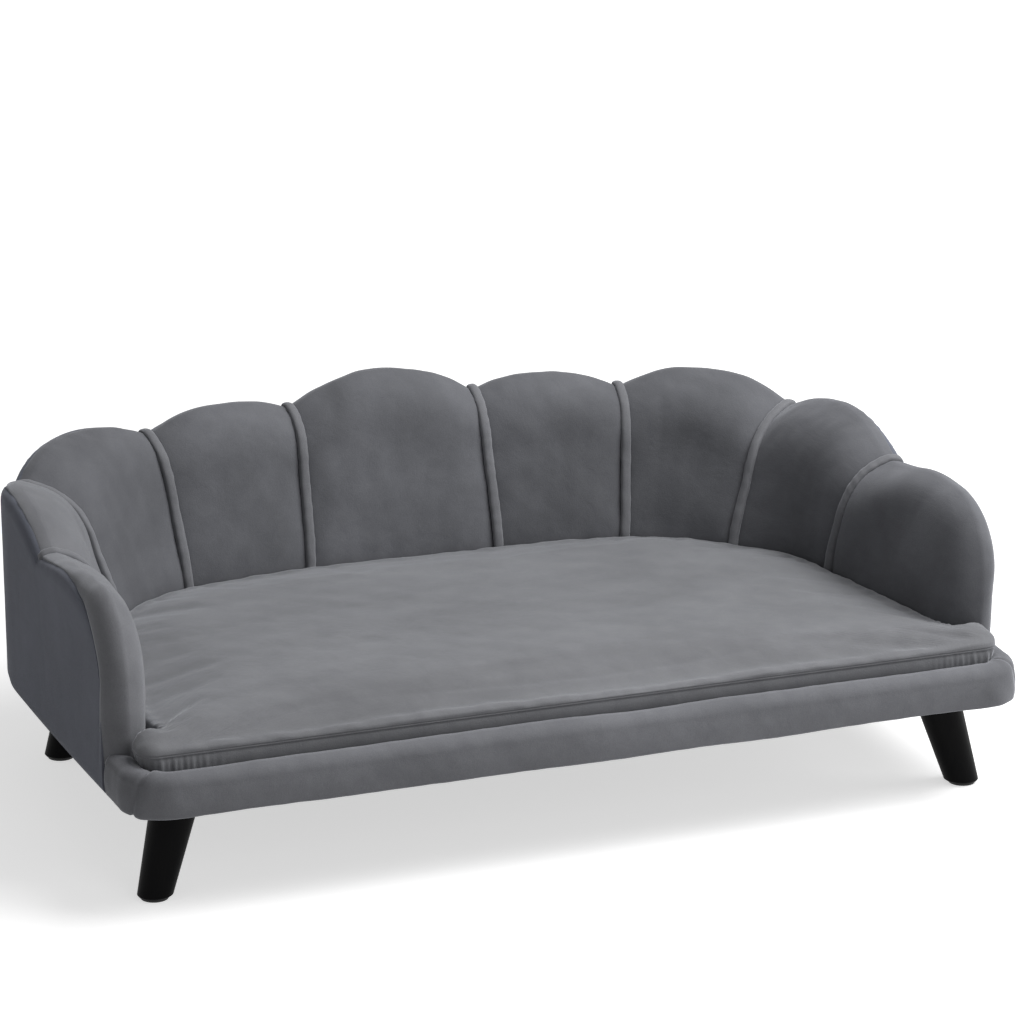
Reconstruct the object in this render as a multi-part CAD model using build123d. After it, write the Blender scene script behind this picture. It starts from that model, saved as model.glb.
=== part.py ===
from build123d import *
import os
from math import atan2, cos, hypot, pi, radians, sin, sqrt, tan

os.makedirs("parts", exist_ok=True)

# Overall sizes in millimetres. The origin is on the floor under the middle of the bed.
width = 1000.0
depth = 680.0
leg_height = 107.0
slab_thickness = 45.0
deck_recess = 13.0

# Plan of the outer wall: a back arc, two corner arcs and two side arcs, tangent to each other
wall_corner_radius = 232.0
side_flare = 10.0
slab_corner_radius = 50.0
back_corner_sweep = 80.0

# Depth of the padding at its foot, which sets the plan of the seat
side_padding = 54.0
corner_padding = 42.0
back_padding = 100.0
seat_flare = 4.0

# Layers of the wall, from outside to inside
cover_thickness = 1.6
wadding_thickness = 4.0
board_thickness = 10.0
base_plate_width = 24.0
base_plate_height = 18.0

# Layers of the slab, from below to above
dust_cover_thickness = 0.8
deck_thickness = 9.0
rail_width = 20.0
front_foam_thickness = 6.0
cross_rail_width = 40.0
cross_rail_spacing = 300.0
block_size = 90.0
dust_cover_margin = 8.0

# Padded roll along the front edge
roll_width = 28.0
roll_edge_radius = 13.0
well_corner_radius = 24.0
roll_foam_over_rail = 7.0

# Crest of the wall above the deck at the seams and its rise over each panel, centre panel first
arm_front = 76.0
cusp_rises = (187.0, 179.0, 167.0, 155.0)
lobe_rises = (32.0, 15.0, 23.0, 25.0)
arm_crest_rise = 169.0
arm_crest_lead = 2.0
arm_nose_radius = 67.0
arm_foot_setback = 49.2
seam_crest_shares = (0.115, 0.295, 0.521, 0.755)
seam_foot_shares = (0.135, 0.310, 0.481, 0.668)
arm_foot_shares = (1.0, 0.719, 0.456, 0.328, 0.212, 0.124, 0.062, 0.0)
arm_crest_shares = (0.49, 0.92)
arm_crest_rise_shares = (0.93, 1.0)
arm_nose_angles = (78.0, 56.0, 34.0, 12.0)

# Cross-section of the padding
top_thickness = 50.0
crest_offset = 22.0
joint_drop = 16.0
shoulder_drop = 30.0
panel_crown = 7.0
seam_crown = 1.0
seam_pinch = 5.0

# Piping between the panels
bead_radius = 5.0
bead_gap = 1.6
flange_thickness = 2.4

# Seat cushion
cushion_gap = 7.0
cushion_front_gap = 4.0
cushion_front_height = 24.0
cushion_back_height = 13.0
cushion_crown = 14.0
cushion_cover_thickness = 1.2
ear_front_radius_share = 0.60
ear_back_radius_share = 0.32
cushion_level_shares = (0.0, 0.16, 0.45, 0.80, 1.0)
cushion_edge_shares = (0.978, 0.994, 1.0, 0.993, 0.978)
crown_shoulder_share = 0.42
crown_edge_share = 0.90
crown_run_shares = (0.0, 0.25, 0.5, 0.75, 1.0)
crown_rise_shares = (0.50, 0.88, 1.0, 0.88, 0.50)

# Zip in the underside of the cushion
zip_past_corner = 4.0
zip_setback = 70.0
zip_groove_depth = 5.4
zip_groove_margin = 2.0
zip_tape_width = 22.0
zip_tape_thickness = 0.8
zip_coil_width = 5.0
zip_coil_thickness = 1.5
zip_slider_length = 11.0
zip_slider_clearance = 0.4
zip_slider_plate = 0.8
zip_slider_post = 1.4
zip_pull_length = 26.0
zip_pull_width = 6.0
zip_pull_thickness = 1.0
zip_play = 0.25

# Legs, their plates and bolts
front_leg_side = 48.0
front_leg_setback = 71.0
rear_leg_side = 67.0
rear_leg_setback = 182.0
leg_splay_side = 16.0
leg_splay_ends = 7.0
leg_top_radius = 24.0
leg_foot_radius = 17.5
leg_foot_chamfer = 2.0
leg_top_gap = 2.35
glide_margin = 3.5
glide_thickness = 2.5
plate_size = 66.0
plate_thickness = 2.5
plate_corner_radius = 8.0
plate_screw_margin = 8.0
boss_radius = 13.0
leg_bolt_radius = 4.0
leg_bolt_in_leg = 34.0
leg_bolt_block_share = 0.68

# Wood screws and bolts
screw_radius = 2.0
screw_head_radius = 4.0
screw_head_height = 2.0
screw_length = 16.0
shell_bolt_radius = 3.0
shell_bolt_plate_share = 0.725
shell_bolt_head_radius = 6.0
shell_bolt_head_height = 4.0
insert_radius = 4.6
insert_height = 12.0
shell_bolt_run_shares = (0.085, 0.335, 0.575, 0.875)
deck_screw_shares = (0.12, 0.42, 0.72, 0.97)

# One overrun serves all cuts
overrun = 60.0

# Levels and places that follow from the sizes above
front = -depth / 2
slab_bottom = leg_height
slab_top = leg_height + slab_thickness
deck_top = slab_top - deck_recess
deck_panel_top = deck_top - cover_thickness
rail_top = deck_panel_top - deck_thickness
rail_bottom = slab_bottom + dust_cover_thickness
board_inset = cover_thickness + wadding_thickness
plate_inset = board_inset + board_thickness
rail_inner_inset = board_inset + rail_width
front_rail_face = cover_thickness + front_foam_thickness
front_rail_back = front_rail_face + rail_width
front_rail_top = slab_top - cover_thickness - roll_foam_over_rail
roll_zone = arm_front + joint_drop
seat_reach = depth - back_padding
cusp_heights = [deck_top + rise for rise in cusp_rises]
arm_crest_height = deck_top + arm_crest_rise
arm_crest_front = arm_front + arm_nose_radius + arm_crest_lead
front_leg_foot = (width / 2 - front_leg_side, front_leg_setback)
rear_leg_foot = (width / 2 - rear_leg_side, depth - rear_leg_setback)
leg_tilt = hypot(tan(radians(leg_splay_side)), tan(radians(leg_splay_ends)))
leg_top_drop = leg_top_radius * sin(atan2(leg_tilt, 1)) + leg_top_gap
leg_bolt_in_block = (rail_top - slab_bottom) * leg_bolt_block_share
plate_screw_offset = plate_size / 2 - plate_screw_margin
shell_bolt_inset = plate_inset + base_plate_width * shell_bolt_plate_share


class PlanCurve:
    """Right half of a D-shaped plan: a back arc, a corner arc and a side arc in one smooth line."""

    def __init__(self, half_width, corner_radius, reach, flare):
        self.turn = radians(back_corner_sweep)
        self.corner_radius = corner_radius
        self.corner_x = half_width - corner_radius
        self.back_radius = self.corner_x / cos(self.turn) + corner_radius
        fall = self.back_radius * (1 - sin(self.turn))
        self.corner_y = front + reach - fall - corner_radius * sin(self.turn)
        self.back_y = front + reach - self.back_radius
        side_run = self.corner_y - front
        self.side_radius = (side_run ** 2 + flare ** 2) / (2 * flare)
        self.side_x = half_width - self.side_radius
        self.back_run = self.back_radius * (pi / 2 - self.turn)
        self.corner_run = corner_radius * self.turn

    def locate(self, run):
        """Point and outward direction at an arc length from the middle of the back."""
        hand = -1 if run < 0 else 1
        run = abs(run)
        if run < self.back_run:
            angle = pi / 2 - run / self.back_radius
            centre, radius = Vector(0, self.back_y), self.back_radius
        elif run < self.back_run + self.corner_run:
            angle = self.turn - (run - self.back_run) / self.corner_radius
            centre, radius = Vector(self.corner_x, self.corner_y), self.corner_radius
        else:
            angle = -(run - self.back_run - self.corner_run) / self.side_radius
            centre, radius = Vector(self.side_x, self.corner_y), self.side_radius
        outward = Vector(cos(angle), sin(angle))
        point = centre + outward * radius
        return Vector(hand * point.X, point.Y), Vector(hand * outward.X, outward.Y)

    def run_to(self, ahead):
        """Arc length from the middle of the back to the side point at a distance from the front."""
        angle = (self.corner_y - front - ahead) / self.side_radius
        return self.back_run + self.corner_run + self.side_radius * angle

    def face(self, inset, front_inset):
        """Closed outline, moved in by an inset, with a straight front line."""
        front_y = front + front_inset
        joint = Vector(self.corner_x, self.corner_y)
        corner = self.corner_radius - inset
        joint_back = joint + Vector(cos(self.turn), sin(self.turn)) * corner
        joint_mid = joint + Vector(cos(self.turn / 2), sin(self.turn / 2)) * corner
        joint_side = joint + Vector(corner, 0)
        side = self.side_radius - inset
        side_end = Vector(self.side_x + sqrt(side ** 2 - (self.corner_y - front_y) ** 2), front_y)
        half_y = (self.corner_y + front_y) / 2
        side_mid = Vector(self.side_x + sqrt(side ** 2 - (self.corner_y - half_y) ** 2), half_y)
        back_mid = Vector(0, self.back_y + self.back_radius - inset)
        edges = [ThreePointArc(joint_back, back_mid, mirrored(joint_back)), Line(mirrored(side_end), side_end)]
        for place in (same, mirrored):
            edges.append(ThreePointArc(place(joint_back), place(joint_mid), place(joint_side)))
            edges.append(ThreePointArc(place(joint_side), place(side_mid), place(side_end)))
        return make_face(edges)


def same(point):
    """The point itself, for loops over both halves."""
    return point


def mirrored(point):
    """The same point on the other half."""
    return Vector(-point.X, point.Y, point.Z)


wall = PlanCurve(width / 2, wall_corner_radius, depth, side_flare)
seat = PlanCurve(width / 2 - side_padding, wall_corner_radius - corner_padding, seat_reach, seat_flare)
wall_run = wall.run_to(arm_front)
seat_run = seat.run_to(arm_front)


def slab_solid(inset, front_inset, bottom, top, corner_radius, edge_radius=0):
    """Prism on the outer plan, with rounded front corners and, if asked, a rounded top edge."""
    solid = Pos(0, 0, bottom) * extrude(wall.face(inset, front_inset), amount=top - bottom)
    corners = solid.edges().filter_by(Axis.Z).group_by(Axis.Y)[0]
    solid = fillet(corners, corner_radius)
    if edge_radius:
        solid = fillet(solid.faces().sort_by(Axis.Z)[-1].edges(), edge_radius)
    return solid


def slab_layer(inset, bottom, top):
    """Prism on the outer plan at one inset all round."""
    return slab_solid(inset, inset, bottom, top, slab_corner_radius - inset)


def box_between(low, high):
    """Box from its lowest to its highest corner."""
    size = high - low
    return Pos(*(low + size / 2)) * Box(size.X, size.Y, size.Z)


def strip_box(near, far, bottom, top):
    """Box across the whole width between two distances from the front."""
    low = Vector(-width / 2 - overrun, front + near, bottom)
    return box_between(low, Vector(width / 2 + overrun, front + far, top))


def lobe_height(panel, share):
    """Crest height across a panel, where 0 is the centre panel."""
    if panel == 0:
        return cusp_heights[0] + lobe_rises[0] * 4 * share * (1 - share)
    start, end = cusp_heights[panel - 1], cusp_heights[panel]
    return start + (end - start) * share + lobe_rises[panel] * 4 * share * (1 - share)


def crest_point(run, height):
    """Point on the outer wall line at a height."""
    point, _ = wall.locate(run)
    return Vector(point.X, point.Y, height)


def arm_crest_profile():
    """Crest of the arm from its last seam to its foot, as distance from the front and height."""
    seam_ahead = crest_point(seam_crest_shares[-1] * wall_run, 0).Y - front
    points = [(seam_ahead, cusp_heights[-1])]
    for share, rise_share in zip(arm_crest_shares, arm_crest_rise_shares):
        ahead = seam_ahead + (arm_crest_front - seam_ahead) * share
        rise = (arm_crest_height - cusp_heights[-1]) * rise_share
        points.append((ahead, cusp_heights[-1] + rise))
    nose_y = arm_front + arm_nose_radius
    nose_z = arm_crest_height - arm_nose_radius
    for angle in arm_nose_angles:
        turn = radians(angle)
        points.append((nose_y - arm_nose_radius * cos(turn), nose_z + arm_nose_radius * sin(turn)))
    points.append((arm_front, deck_top))
    return points


class Section:
    """Slanted plane through the wall, from the outer foot across to the seat and up to the crest."""

    def __init__(self, foot_run, crest):
        foot_in, _ = seat.locate(foot_run)
        foot_out = nearest_on_wall(foot_in)
        self.foot_out = Vector(foot_out.X, foot_out.Y, deck_top)
        foot_in = Vector(foot_in.X, foot_in.Y, deck_top)
        self.across = (foot_in - self.foot_out).normalized()
        self.thickness = (foot_in - self.foot_out).length
        lean = crest - self.foot_out
        self.up = (lean - self.across * lean.dot(self.across)).normalized()
        self.height = lean.dot(self.up)
        normal = self.across.cross(self.up)
        self.plane = Plane(origin=self.foot_out, x_dir=self.across, z_dir=normal)

    def outline(self, inset, fullness):
        """Corner points of the padded profile; a full panel is thicker than one at its seam."""
        pinch = seam_pinch * (1 - fullness)
        top = top_thickness - pinch
        foot = max(self.thickness - pinch, top)
        crown = seam_crown + (panel_crown - seam_crown) * fullness
        start = (inset, self.height - joint_drop - cover_thickness)
        crest = (crest_offset, self.height - inset)
        shoulder = (top - inset, self.height - shoulder_drop)
        end = (foot - inset, 0)
        return start, crest, shoulder, end, crown

    def edges(self, inset, fullness):
        """Rounded edges from the outer joint over the crest and down to the seat."""
        start, crest, shoulder, end, crown = self.outline(inset, fullness)
        half = sin(pi / 4)
        outer_mid = (crest[0] - (crest[0] - start[0]) * half, crest[1] - (crest[1] - start[1]) * (1 - half))
        inner_mid = (crest[0] + (shoulder[0] - crest[0]) * half, crest[1] - (crest[1] - shoulder[1]) * (1 - half))
        run_a, run_b = end[0] - shoulder[0], end[1] - shoulder[1]
        length = hypot(run_a, run_b)
        bulge = (crown * -run_b / length, crown * run_a / length)
        face_mid = ((shoulder[0] + end[0]) / 2 + bulge[0], (shoulder[1] + end[1]) / 2 + bulge[1])
        return [
            ThreePointArc(start, outer_mid, crest),
            ThreePointArc(crest, inner_mid, shoulder),
            ThreePointArc(shoulder, face_mid, end),
        ]

    def face(self, inset, fullness):
        """Closed profile of the padding in its plane, down to the deck."""
        start, _, _, end, _ = self.outline(inset, fullness)
        corner = (inset, 0)
        edges = self.edges(inset, fullness) + [Line(end, corner), Line(corner, start)]
        return self.plane * make_face(edges)


def nearest_on_wall(point):
    """Foot of the shortest line from a seat point to the outer wall line."""
    hand = -1 if point.X < 0 else 1
    x, y = abs(point.X), point.Y
    angle = atan2(y - wall.corner_y, x - wall.corner_x)
    if y < wall.corner_y:
        angle = atan2(y - wall.corner_y, x - wall.side_x)
        foot = Vector(wall.side_x + wall.side_radius * cos(angle), wall.corner_y + wall.side_radius * sin(angle))
    elif angle > wall.turn:
        angle = atan2(y - wall.back_y, x)
        foot = Vector(wall.back_radius * cos(angle), wall.back_y + wall.back_radius * sin(angle))
    else:
        foot = Vector(wall.corner_x + wall.corner_radius * cos(angle), wall.corner_y + wall.corner_radius * sin(angle))
    return Vector(hand * foot.X, foot.Y)


def panel_sections(panel):
    """Sections across one panel of the right half with how full each is; 0 is the centre panel."""
    clear = bead_radius + bead_gap
    step_shares = (0, 0.25, 0.5, 0.75, 1)
    sections = []
    if panel <= len(lobe_rises) - 1:
        ends = ((-seam_crest_shares[0], seam_crest_shares[0]), (-seam_foot_shares[0], seam_foot_shares[0]))
        if panel:
            ends = (seam_crest_shares[panel - 1:panel + 1], seam_foot_shares[panel - 1:panel + 1])
        crest_ends = (ends[0][0] * wall_run + clear, ends[0][1] * wall_run - clear)
        foot_ends = (ends[1][0] * seat_run + clear, ends[1][1] * seat_run - clear)
        for share in step_shares:
            crest_run = crest_ends[0] + (crest_ends[1] - crest_ends[0]) * share
            foot_run = foot_ends[0] + (foot_ends[1] - foot_ends[0]) * share
            section = Section(foot_run, crest_point(crest_run, lobe_height(panel, share)))
            sections.append((section, 4 * share * (1 - share)))
        return sections
    front_foot = seat.run_to(arm_front + arm_foot_setback)
    seam_foot = seam_foot_shares[-1] * seat_run
    for index, (ahead, height) in enumerate(arm_crest_profile()):
        nudge = clear if index == 0 else 0
        foot_run = front_foot + (seam_foot - front_foot) * arm_foot_shares[index] + nudge
        run = wall.run_to(ahead) + nudge
        fullness = min(1, index / 2)
        sections.append((Section(foot_run, crest_point(run, height)), fullness))
    return sections


def panel_loft(panel, inset):
    """Solid of one padded panel, from its outer face to the seat."""
    faces = [section.face(inset, fullness) for section, fullness in panel_sections(panel)]
    return loft(faces, ruled=panel == len(lobe_rises))


def lobe_prism(panel):
    """Upright prism under the joint line of one panel, for cutting the boards and covers to shape."""
    low = slab_bottom - overrun
    if panel == len(lobe_rises):
        return arm_prism(low)
    start_run = -seam_crest_shares[0] if panel == 0 else seam_crest_shares[panel - 1]
    start, _ = wall.locate(start_run * wall_run)
    end, _ = wall.locate(seam_crest_shares[panel] * wall_run)
    chord = end - start
    heights = [lobe_height(panel, share) - joint_drop for share in (0, 0.5, 1)]
    outline = [
        Line((0, low), (0, heights[0])),
        ThreePointArc((0, heights[0]), (chord.length / 2, heights[1]), (chord.length, heights[2])),
        Line((chord.length, heights[2]), (chord.length, low)),
        Line((chord.length, low), (0, low)),
    ]
    normal = chord.normalized().cross(Vector(0, 0, 1))
    plane = Plane(origin=start, x_dir=chord, z_dir=normal)
    return extrude(plane * make_face(outline), amount=overrun, both=True)


def arm_prism(low):
    """Upright prism under the joint line of the arm, with its rounded front."""
    back = crest_point(seam_crest_shares[-1] * wall_run, 0).Y
    joint_radius = arm_nose_radius - joint_drop
    joint_front = front + arm_front + joint_drop
    joint_top = arm_crest_height - joint_drop
    turn = sin(pi / 4)
    corner_y = joint_front + joint_radius
    corner_z = joint_top - joint_radius
    corner_mid = (corner_y - joint_radius * turn, corner_z + joint_radius * turn)
    seam_top = cusp_heights[-1] - joint_drop
    bend = (joint_top - seam_top) * arm_crest_rise_shares[0]
    top_mid = (back + (front + arm_crest_front - back) * arm_crest_shares[0], seam_top + bend)
    top_start = (front + arm_crest_front, joint_top)
    outline = [
        Line((joint_front, low), (joint_front, corner_z)),
        ThreePointArc((joint_front, corner_z), corner_mid, (corner_y, joint_top)),
        Line((corner_y, joint_top), top_start),
        ThreePointArc(top_start, top_mid, (back, seam_top)),
        Line((back, seam_top), (back, low)),
        Line((back, low), (joint_front, low)),
    ]
    plane = Plane(origin=(width / 2, 0, 0), x_dir=(0, 1, 0), z_dir=(1, 0, 0))
    return extrude(plane * make_face(outline), amount=overrun, both=True)


def wall_envelope():
    """Everything under the joint line of the nine panels."""
    right = [lobe_prism(panel) for panel in range(1, len(lobe_rises) + 1)]
    return lobe_prism(0) + right + [mirror(prism, about=Plane.YZ) for prism in right]


def two_arcs(start, start_way, end, end_way):
    """Two arcs, tangent to each other and to a direction at each end."""
    gap = end - start
    both = start_way + end_way
    open_share = 2 * (1 - start_way.dot(end_way))
    along_both = gap.dot(both)
    reach = (sqrt(along_both ** 2 + open_share * gap.dot(gap)) - along_both) / open_share
    near = start + start_way * reach
    far = end - end_way * reach
    middle = (near + far) / 2
    return [TangentArc(start, middle, tangent=start_way), TangentArc(middle, end, tangent=far - near)]


def seam_piping(index, cutters):
    """Bead with its flange in the plane of one seam of the right half."""
    section = Section(
        seam_foot_shares[index] * seat_run,
        crest_point(seam_crest_shares[index] * wall_run, cusp_heights[index]),
    )
    start, crest, shoulder, end = [Vector(*point) for point in section.outline(0, 0)[:4]]
    start = start + Vector(bead_radius, bead_radius)
    down = (end - shoulder).normalized()
    lip = two_arcs(start, Vector(0, 1), crest, Vector(1, 0))
    inner = two_arcs(crest, Vector(1, 0), shoulder, down)
    path = section.plane * Wire(lip + inner + [Line(shoulder, end)])
    bead = sweep(Plane(origin=path @ 0, z_dir=path % 0) * Circle(bead_radius), path=path)
    flange = extrude(section.face(bead_gap, 0), amount=flange_thickness / 2, both=True)
    piping = bead + flange
    for cutter in cutters:
        piping = piping - cutter
    return largest(piping)


def largest(shape):
    """The main solid of a cut shape."""
    return shape.solids().sort_by(SortBy.VOLUME)[-1]


def cushion_outline(level_share):
    """Plan of the cushion, scaled about its middle: ears in front of the arms, a D behind them."""
    gap = cushion_gap
    near = front + roll_width + cushion_front_gap
    ear = wall.locate(wall.run_to(arm_front / 2))[0].X - roll_width - cushion_front_gap
    ear_back = front + arm_front - gap
    side = seat.locate(seat.run_to(arm_front))[0].X - gap
    joint = Vector(seat.corner_x, seat.corner_y)
    corner = seat.corner_radius - gap
    joint_back = joint + Vector(cos(seat.turn), sin(seat.turn)) * corner
    joint_mid = joint + Vector(cos(seat.turn / 2), sin(seat.turn / 2)) * corner
    joint_side = joint + Vector(corner, 0)
    back_mid = Vector(0, seat.back_y + seat.back_radius - gap)
    big = (ear_back - near) * ear_front_radius_share
    small = (ear_back - near) * ear_back_radius_share
    half = 1 - sin(pi / 4)
    corner_points = (
        Vector(ear - big, near), Vector(ear - big * half, near + big * half), Vector(ear, near + big),
        Vector(ear, ear_back - small), Vector(ear - small * half, ear_back - small * half),
        Vector(ear - small, ear_back),
    )
    notch = Vector(side, ear_back)
    edges = [ThreePointArc(joint_back, back_mid, mirrored(joint_back))]
    edges.append(Line(mirrored(corner_points[0]), corner_points[0]))
    for place in (same, mirrored):
        edges.append(ThreePointArc(*[place(point) for point in corner_points[0:3]]))
        edges.append(Line(place(corner_points[2]), place(corner_points[3])))
        edges.append(ThreePointArc(*[place(point) for point in corner_points[3:6]]))
        edges.append(Line(place(corner_points[5]), place(notch)))
        edges.append(Line(place(notch), place(joint_side)))
        edges.append(ThreePointArc(place(joint_side), place(joint_mid), place(joint_back)))
    middle = Vector(0, front + (roll_width + seat_reach) / 2)
    outline = Pos(-middle.X, -middle.Y) * make_face(edges)
    return Pos(middle.X, middle.Y) * scale(outline, by=level_share)


def cushion_dome(inset):
    """Everything under the crown of the cushion, arched across and from front to back."""
    fall = cushion_front_height - cushion_back_height
    half = width / 2
    faces = []
    for run_share, rise_share in zip(crown_run_shares, crown_rise_shares):
        base = deck_top + cushion_front_height - fall * run_share - inset
        edge = base + cushion_crown * crown_shoulder_share
        top = base + cushion_crown * rise_share
        outline = [
            ThreePointArc((-half, edge), (0, top), (half, edge)),
            Line((half, edge), (half, slab_bottom)),
            Line((half, slab_bottom), (-half, slab_bottom)),
            Line((-half, slab_bottom), (-half, edge)),
        ]
        place = front + roll_width + (seat_reach - roll_width) * run_share
        faces.append(Plane(origin=(0, place, 0), x_dir=(1, 0, 0), z_dir=(0, -1, 0)) * make_face(outline))
    return loft(faces)


def cushion_solid(inset):
    """Cushion with drawn-in sides and a crown; its top falls a little to the back."""
    near = front + roll_width
    fall = cushion_front_height - cushion_back_height
    shrink = 1 - 2 * inset / (seat_reach - roll_width)
    levels = []
    for share, edge in zip(cushion_level_shares, cushion_edge_shares):
        height = inset + (cushion_front_height - 2 * inset) * share
        levels.append((height, fall * share, edge))
    for share in (crown_shoulder_share, 1):
        levels.append((cushion_front_height - inset + cushion_crown * share, fall, crown_edge_share))
    faces = []
    for height, drop, edge in levels:
        tilt = atan2(drop, seat_reach - roll_width)
        level = Plane(origin=(0, near, deck_top + height), x_dir=(1, 0, 0), z_dir=(0, sin(tilt), cos(tilt)))
        faces.append(level * (Pos(0, -near) * cushion_outline(edge * shrink)))
    return largest(loft(faces, ruled=True) & cushion_dome(inset))


def leg_frame(foot, hand):
    """Foot point, leg axis and top point of one leg."""
    base = Vector(hand * foot[0], front + foot[1], 0)
    ends = -1 if foot is front_leg_foot else 1
    lean = Vector(-hand * tan(radians(leg_splay_side)), -ends * tan(radians(leg_splay_ends)), 1)
    top = base + lean * slab_bottom
    return base, lean.normalized(), top


def along(point, axis, radius, length):
    """Round bar from a point along an axis."""
    return extrude(Plane(origin=point, z_dir=axis) * Circle(radius), amount=length)


def make_leg(foot, hand):
    """Tapered leg, cut level at its foot and square to its axis at the top."""
    base, axis, top = leg_frame(foot, hand)
    length = (slab_bottom - plate_thickness - leg_top_drop) / axis.Z
    taper = (leg_top_radius - leg_foot_radius) / length
    spare = leg_foot_radius
    cone = loft([
        Plane(origin=base - axis * spare, z_dir=axis) * Circle(leg_foot_radius - taper * spare),
        Plane(origin=base + axis * length, z_dir=axis) * Circle(leg_top_radius),
    ])
    below = box_between(
        Vector(base.X - overrun, base.Y - overrun, -overrun),
        Vector(base.X + overrun, base.Y + overrun, glide_thickness),
    )
    leg = cone - below
    sole = leg.faces().sort_by(Axis.Z)[0]
    leg = chamfer(sole.edges(), leg_foot_chamfer)
    return largest(leg - leg_bolt(foot, hand))


def leg_bolt(foot, hand):
    """Threaded bolt along the leg axis, from the leg up into the corner block."""
    base, axis, top = leg_frame(foot, hand)
    leg_end = base + axis * ((slab_bottom - plate_thickness - leg_top_drop) / axis.Z)
    bolt_top = (slab_bottom + leg_bolt_in_block) / axis.Z
    reach = (base + axis * bolt_top - leg_end).length
    return along(leg_end - axis * leg_bolt_in_leg, axis, leg_bolt_radius, reach + leg_bolt_in_leg)


def leg_plate(foot, hand):
    """Steel plate with a slanted boss whose face is square to the leg."""
    base, axis, top = leg_frame(foot, hand)
    low = slab_bottom - plate_thickness
    plate = Pos(top.X, top.Y, low + plate_thickness / 2) * Box(plate_size, plate_size, plate_thickness)
    plate = fillet(plate.edges().filter_by(Axis.Z), plate_corner_radius)
    leg_end = base + axis * ((low - leg_top_drop) / axis.Z)
    boss = along(leg_end, axis, boss_radius, overrun)
    boss = boss - strip_box(-overrun, depth + overrun, low + plate_thickness / 2, slab_top + overrun)
    plate = plate + largest(boss) - leg_bolt(foot, hand)
    for screw in plate_screws(foot, hand):
        plate = plate - screw
    return largest(plate)


def upright_screw(x, y, head_low, length, radius=screw_radius):
    """Screw driven upwards, its head at the bottom."""
    head = Pos(x, y, head_low + screw_head_height / 2) * Cylinder(screw_head_radius, screw_head_height)
    shank_low = head_low + screw_head_height
    shank = Pos(x, y, shank_low + length / 2) * Cylinder(radius, length)
    return largest(head + shank)


def plate_screws(foot, hand):
    """Four screws of one leg plate."""
    _, _, top = leg_frame(foot, hand)
    head_low = slab_bottom - plate_thickness - screw_head_height
    places = [(i, j) for i in (-1, 1) for j in (-1, 1)]
    return [
        upright_screw(top.X + i * plate_screw_offset, top.Y + j * plate_screw_offset, head_low, screw_length)
        for i, j in places
    ]


def leg_glide(foot, hand):
    """Round glide under a leg."""
    base, axis, _ = leg_frame(foot, hand)
    centre = base + axis * (glide_thickness / axis.Z)
    radius = leg_foot_radius - glide_margin
    return Pos(centre.X, centre.Y, glide_thickness / 2) * Cylinder(radius, glide_thickness)


def corner_block(foot, hand):
    """Wood block above one leg, cut to the inside of the rails."""
    _, _, top = leg_frame(foot, hand)
    half = block_size / 2
    low = Vector(top.X - half, top.Y - half, rail_bottom)
    block = box_between(low, Vector(top.X + half, top.Y + half, rail_top))
    block = block & slab_layer(rail_inner_inset, rail_bottom, rail_top)
    block = block & strip_box(front_rail_back, depth, rail_bottom, rail_top)
    block = block - leg_bolt(foot, hand)
    for screw in plate_screws(foot, hand):
        block = block - screw
    return largest(block)


def shell_bolt_places():
    """Plan places of the bolts that hold the shell to the deck."""
    places = []
    for share in shell_bolt_run_shares:
        point, outward = wall.locate(share * wall_run)
        spot = point - outward * shell_bolt_inset
        places += [spot, mirrored(spot)]
    return places


def shell_bolt(spot):
    """Bolt with its head under the deck and its shank up in the base plate."""
    head_low = rail_top - shell_bolt_head_height
    head = Pos(spot.X, spot.Y, head_low) * extrude(RegularPolygon(shell_bolt_head_radius, 6), shell_bolt_head_height)
    shank_length = deck_thickness + cover_thickness + insert_height
    shank = Pos(spot.X, spot.Y, rail_top + shank_length / 2) * Cylinder(shell_bolt_radius, shank_length)
    return largest(head + shank)


def shell_insert(spot):
    """Threaded insert in the base plate."""
    insert = Pos(spot.X, spot.Y, deck_top + insert_height / 2) * Cylinder(insert_radius, insert_height)
    return largest(insert - shell_bolt(spot))


def deck_screw_places():
    """Plan places of the screws from the deck down into the side and rear rails."""
    places = []
    inset = board_inset + rail_width / 2
    for share in deck_screw_shares:
        point, outward = wall.locate(share * wall.run_to(roll_zone + rail_width))
        spot = point - outward * inset
        places += [spot, mirrored(spot)]
    return places


def deck_screw(spot):
    """Countersunk screw through the deck."""
    head = Pos(spot.X, spot.Y, deck_panel_top - screw_head_height / 2) * Cone(
        screw_radius, screw_head_radius, screw_head_height)
    shank_top = deck_panel_top - screw_head_height
    shank = Pos(spot.X, spot.Y, shank_top - screw_length / 2) * Cylinder(screw_radius, screw_length)
    return largest(head + shank)


def write(shape, name):
    """Write one sub-part under its node name."""
    export_step(shape, f"parts/{name}.step")


def write_group(solids, name):
    """Write separate solids that share one node."""
    export_step(Compound(children=list(solids)), f"parts/{name}.step")


def cut_all(shape, cutters):
    """Take every cutter out of a shape."""
    for cutter in cutters:
        shape = shape - cutter
    return shape


# Legs, glides, plates and their fasteners
leg_names = {
    "front_left_leg": (front_leg_foot, -1),
    "front_right_leg": (front_leg_foot, 1),
    "rear_left_leg": (rear_leg_foot, -1),
    "rear_right_leg": (rear_leg_foot, 1),
}
for name, (foot, hand) in leg_names.items():
    write(make_leg(foot, hand), name)
    write(leg_glide(foot, hand), name.replace("leg", "glide"))
leg_places = list(leg_names.values())
bolts = [leg_bolt(*place) for place in leg_places]
screws = [screw for place in leg_places for screw in plate_screws(*place)]
write_group([leg_plate(*place) for place in leg_places], "leg_plates")
write_group(bolts, "leg_bolts")
write_group(screws, "leg_plate_screws")

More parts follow.
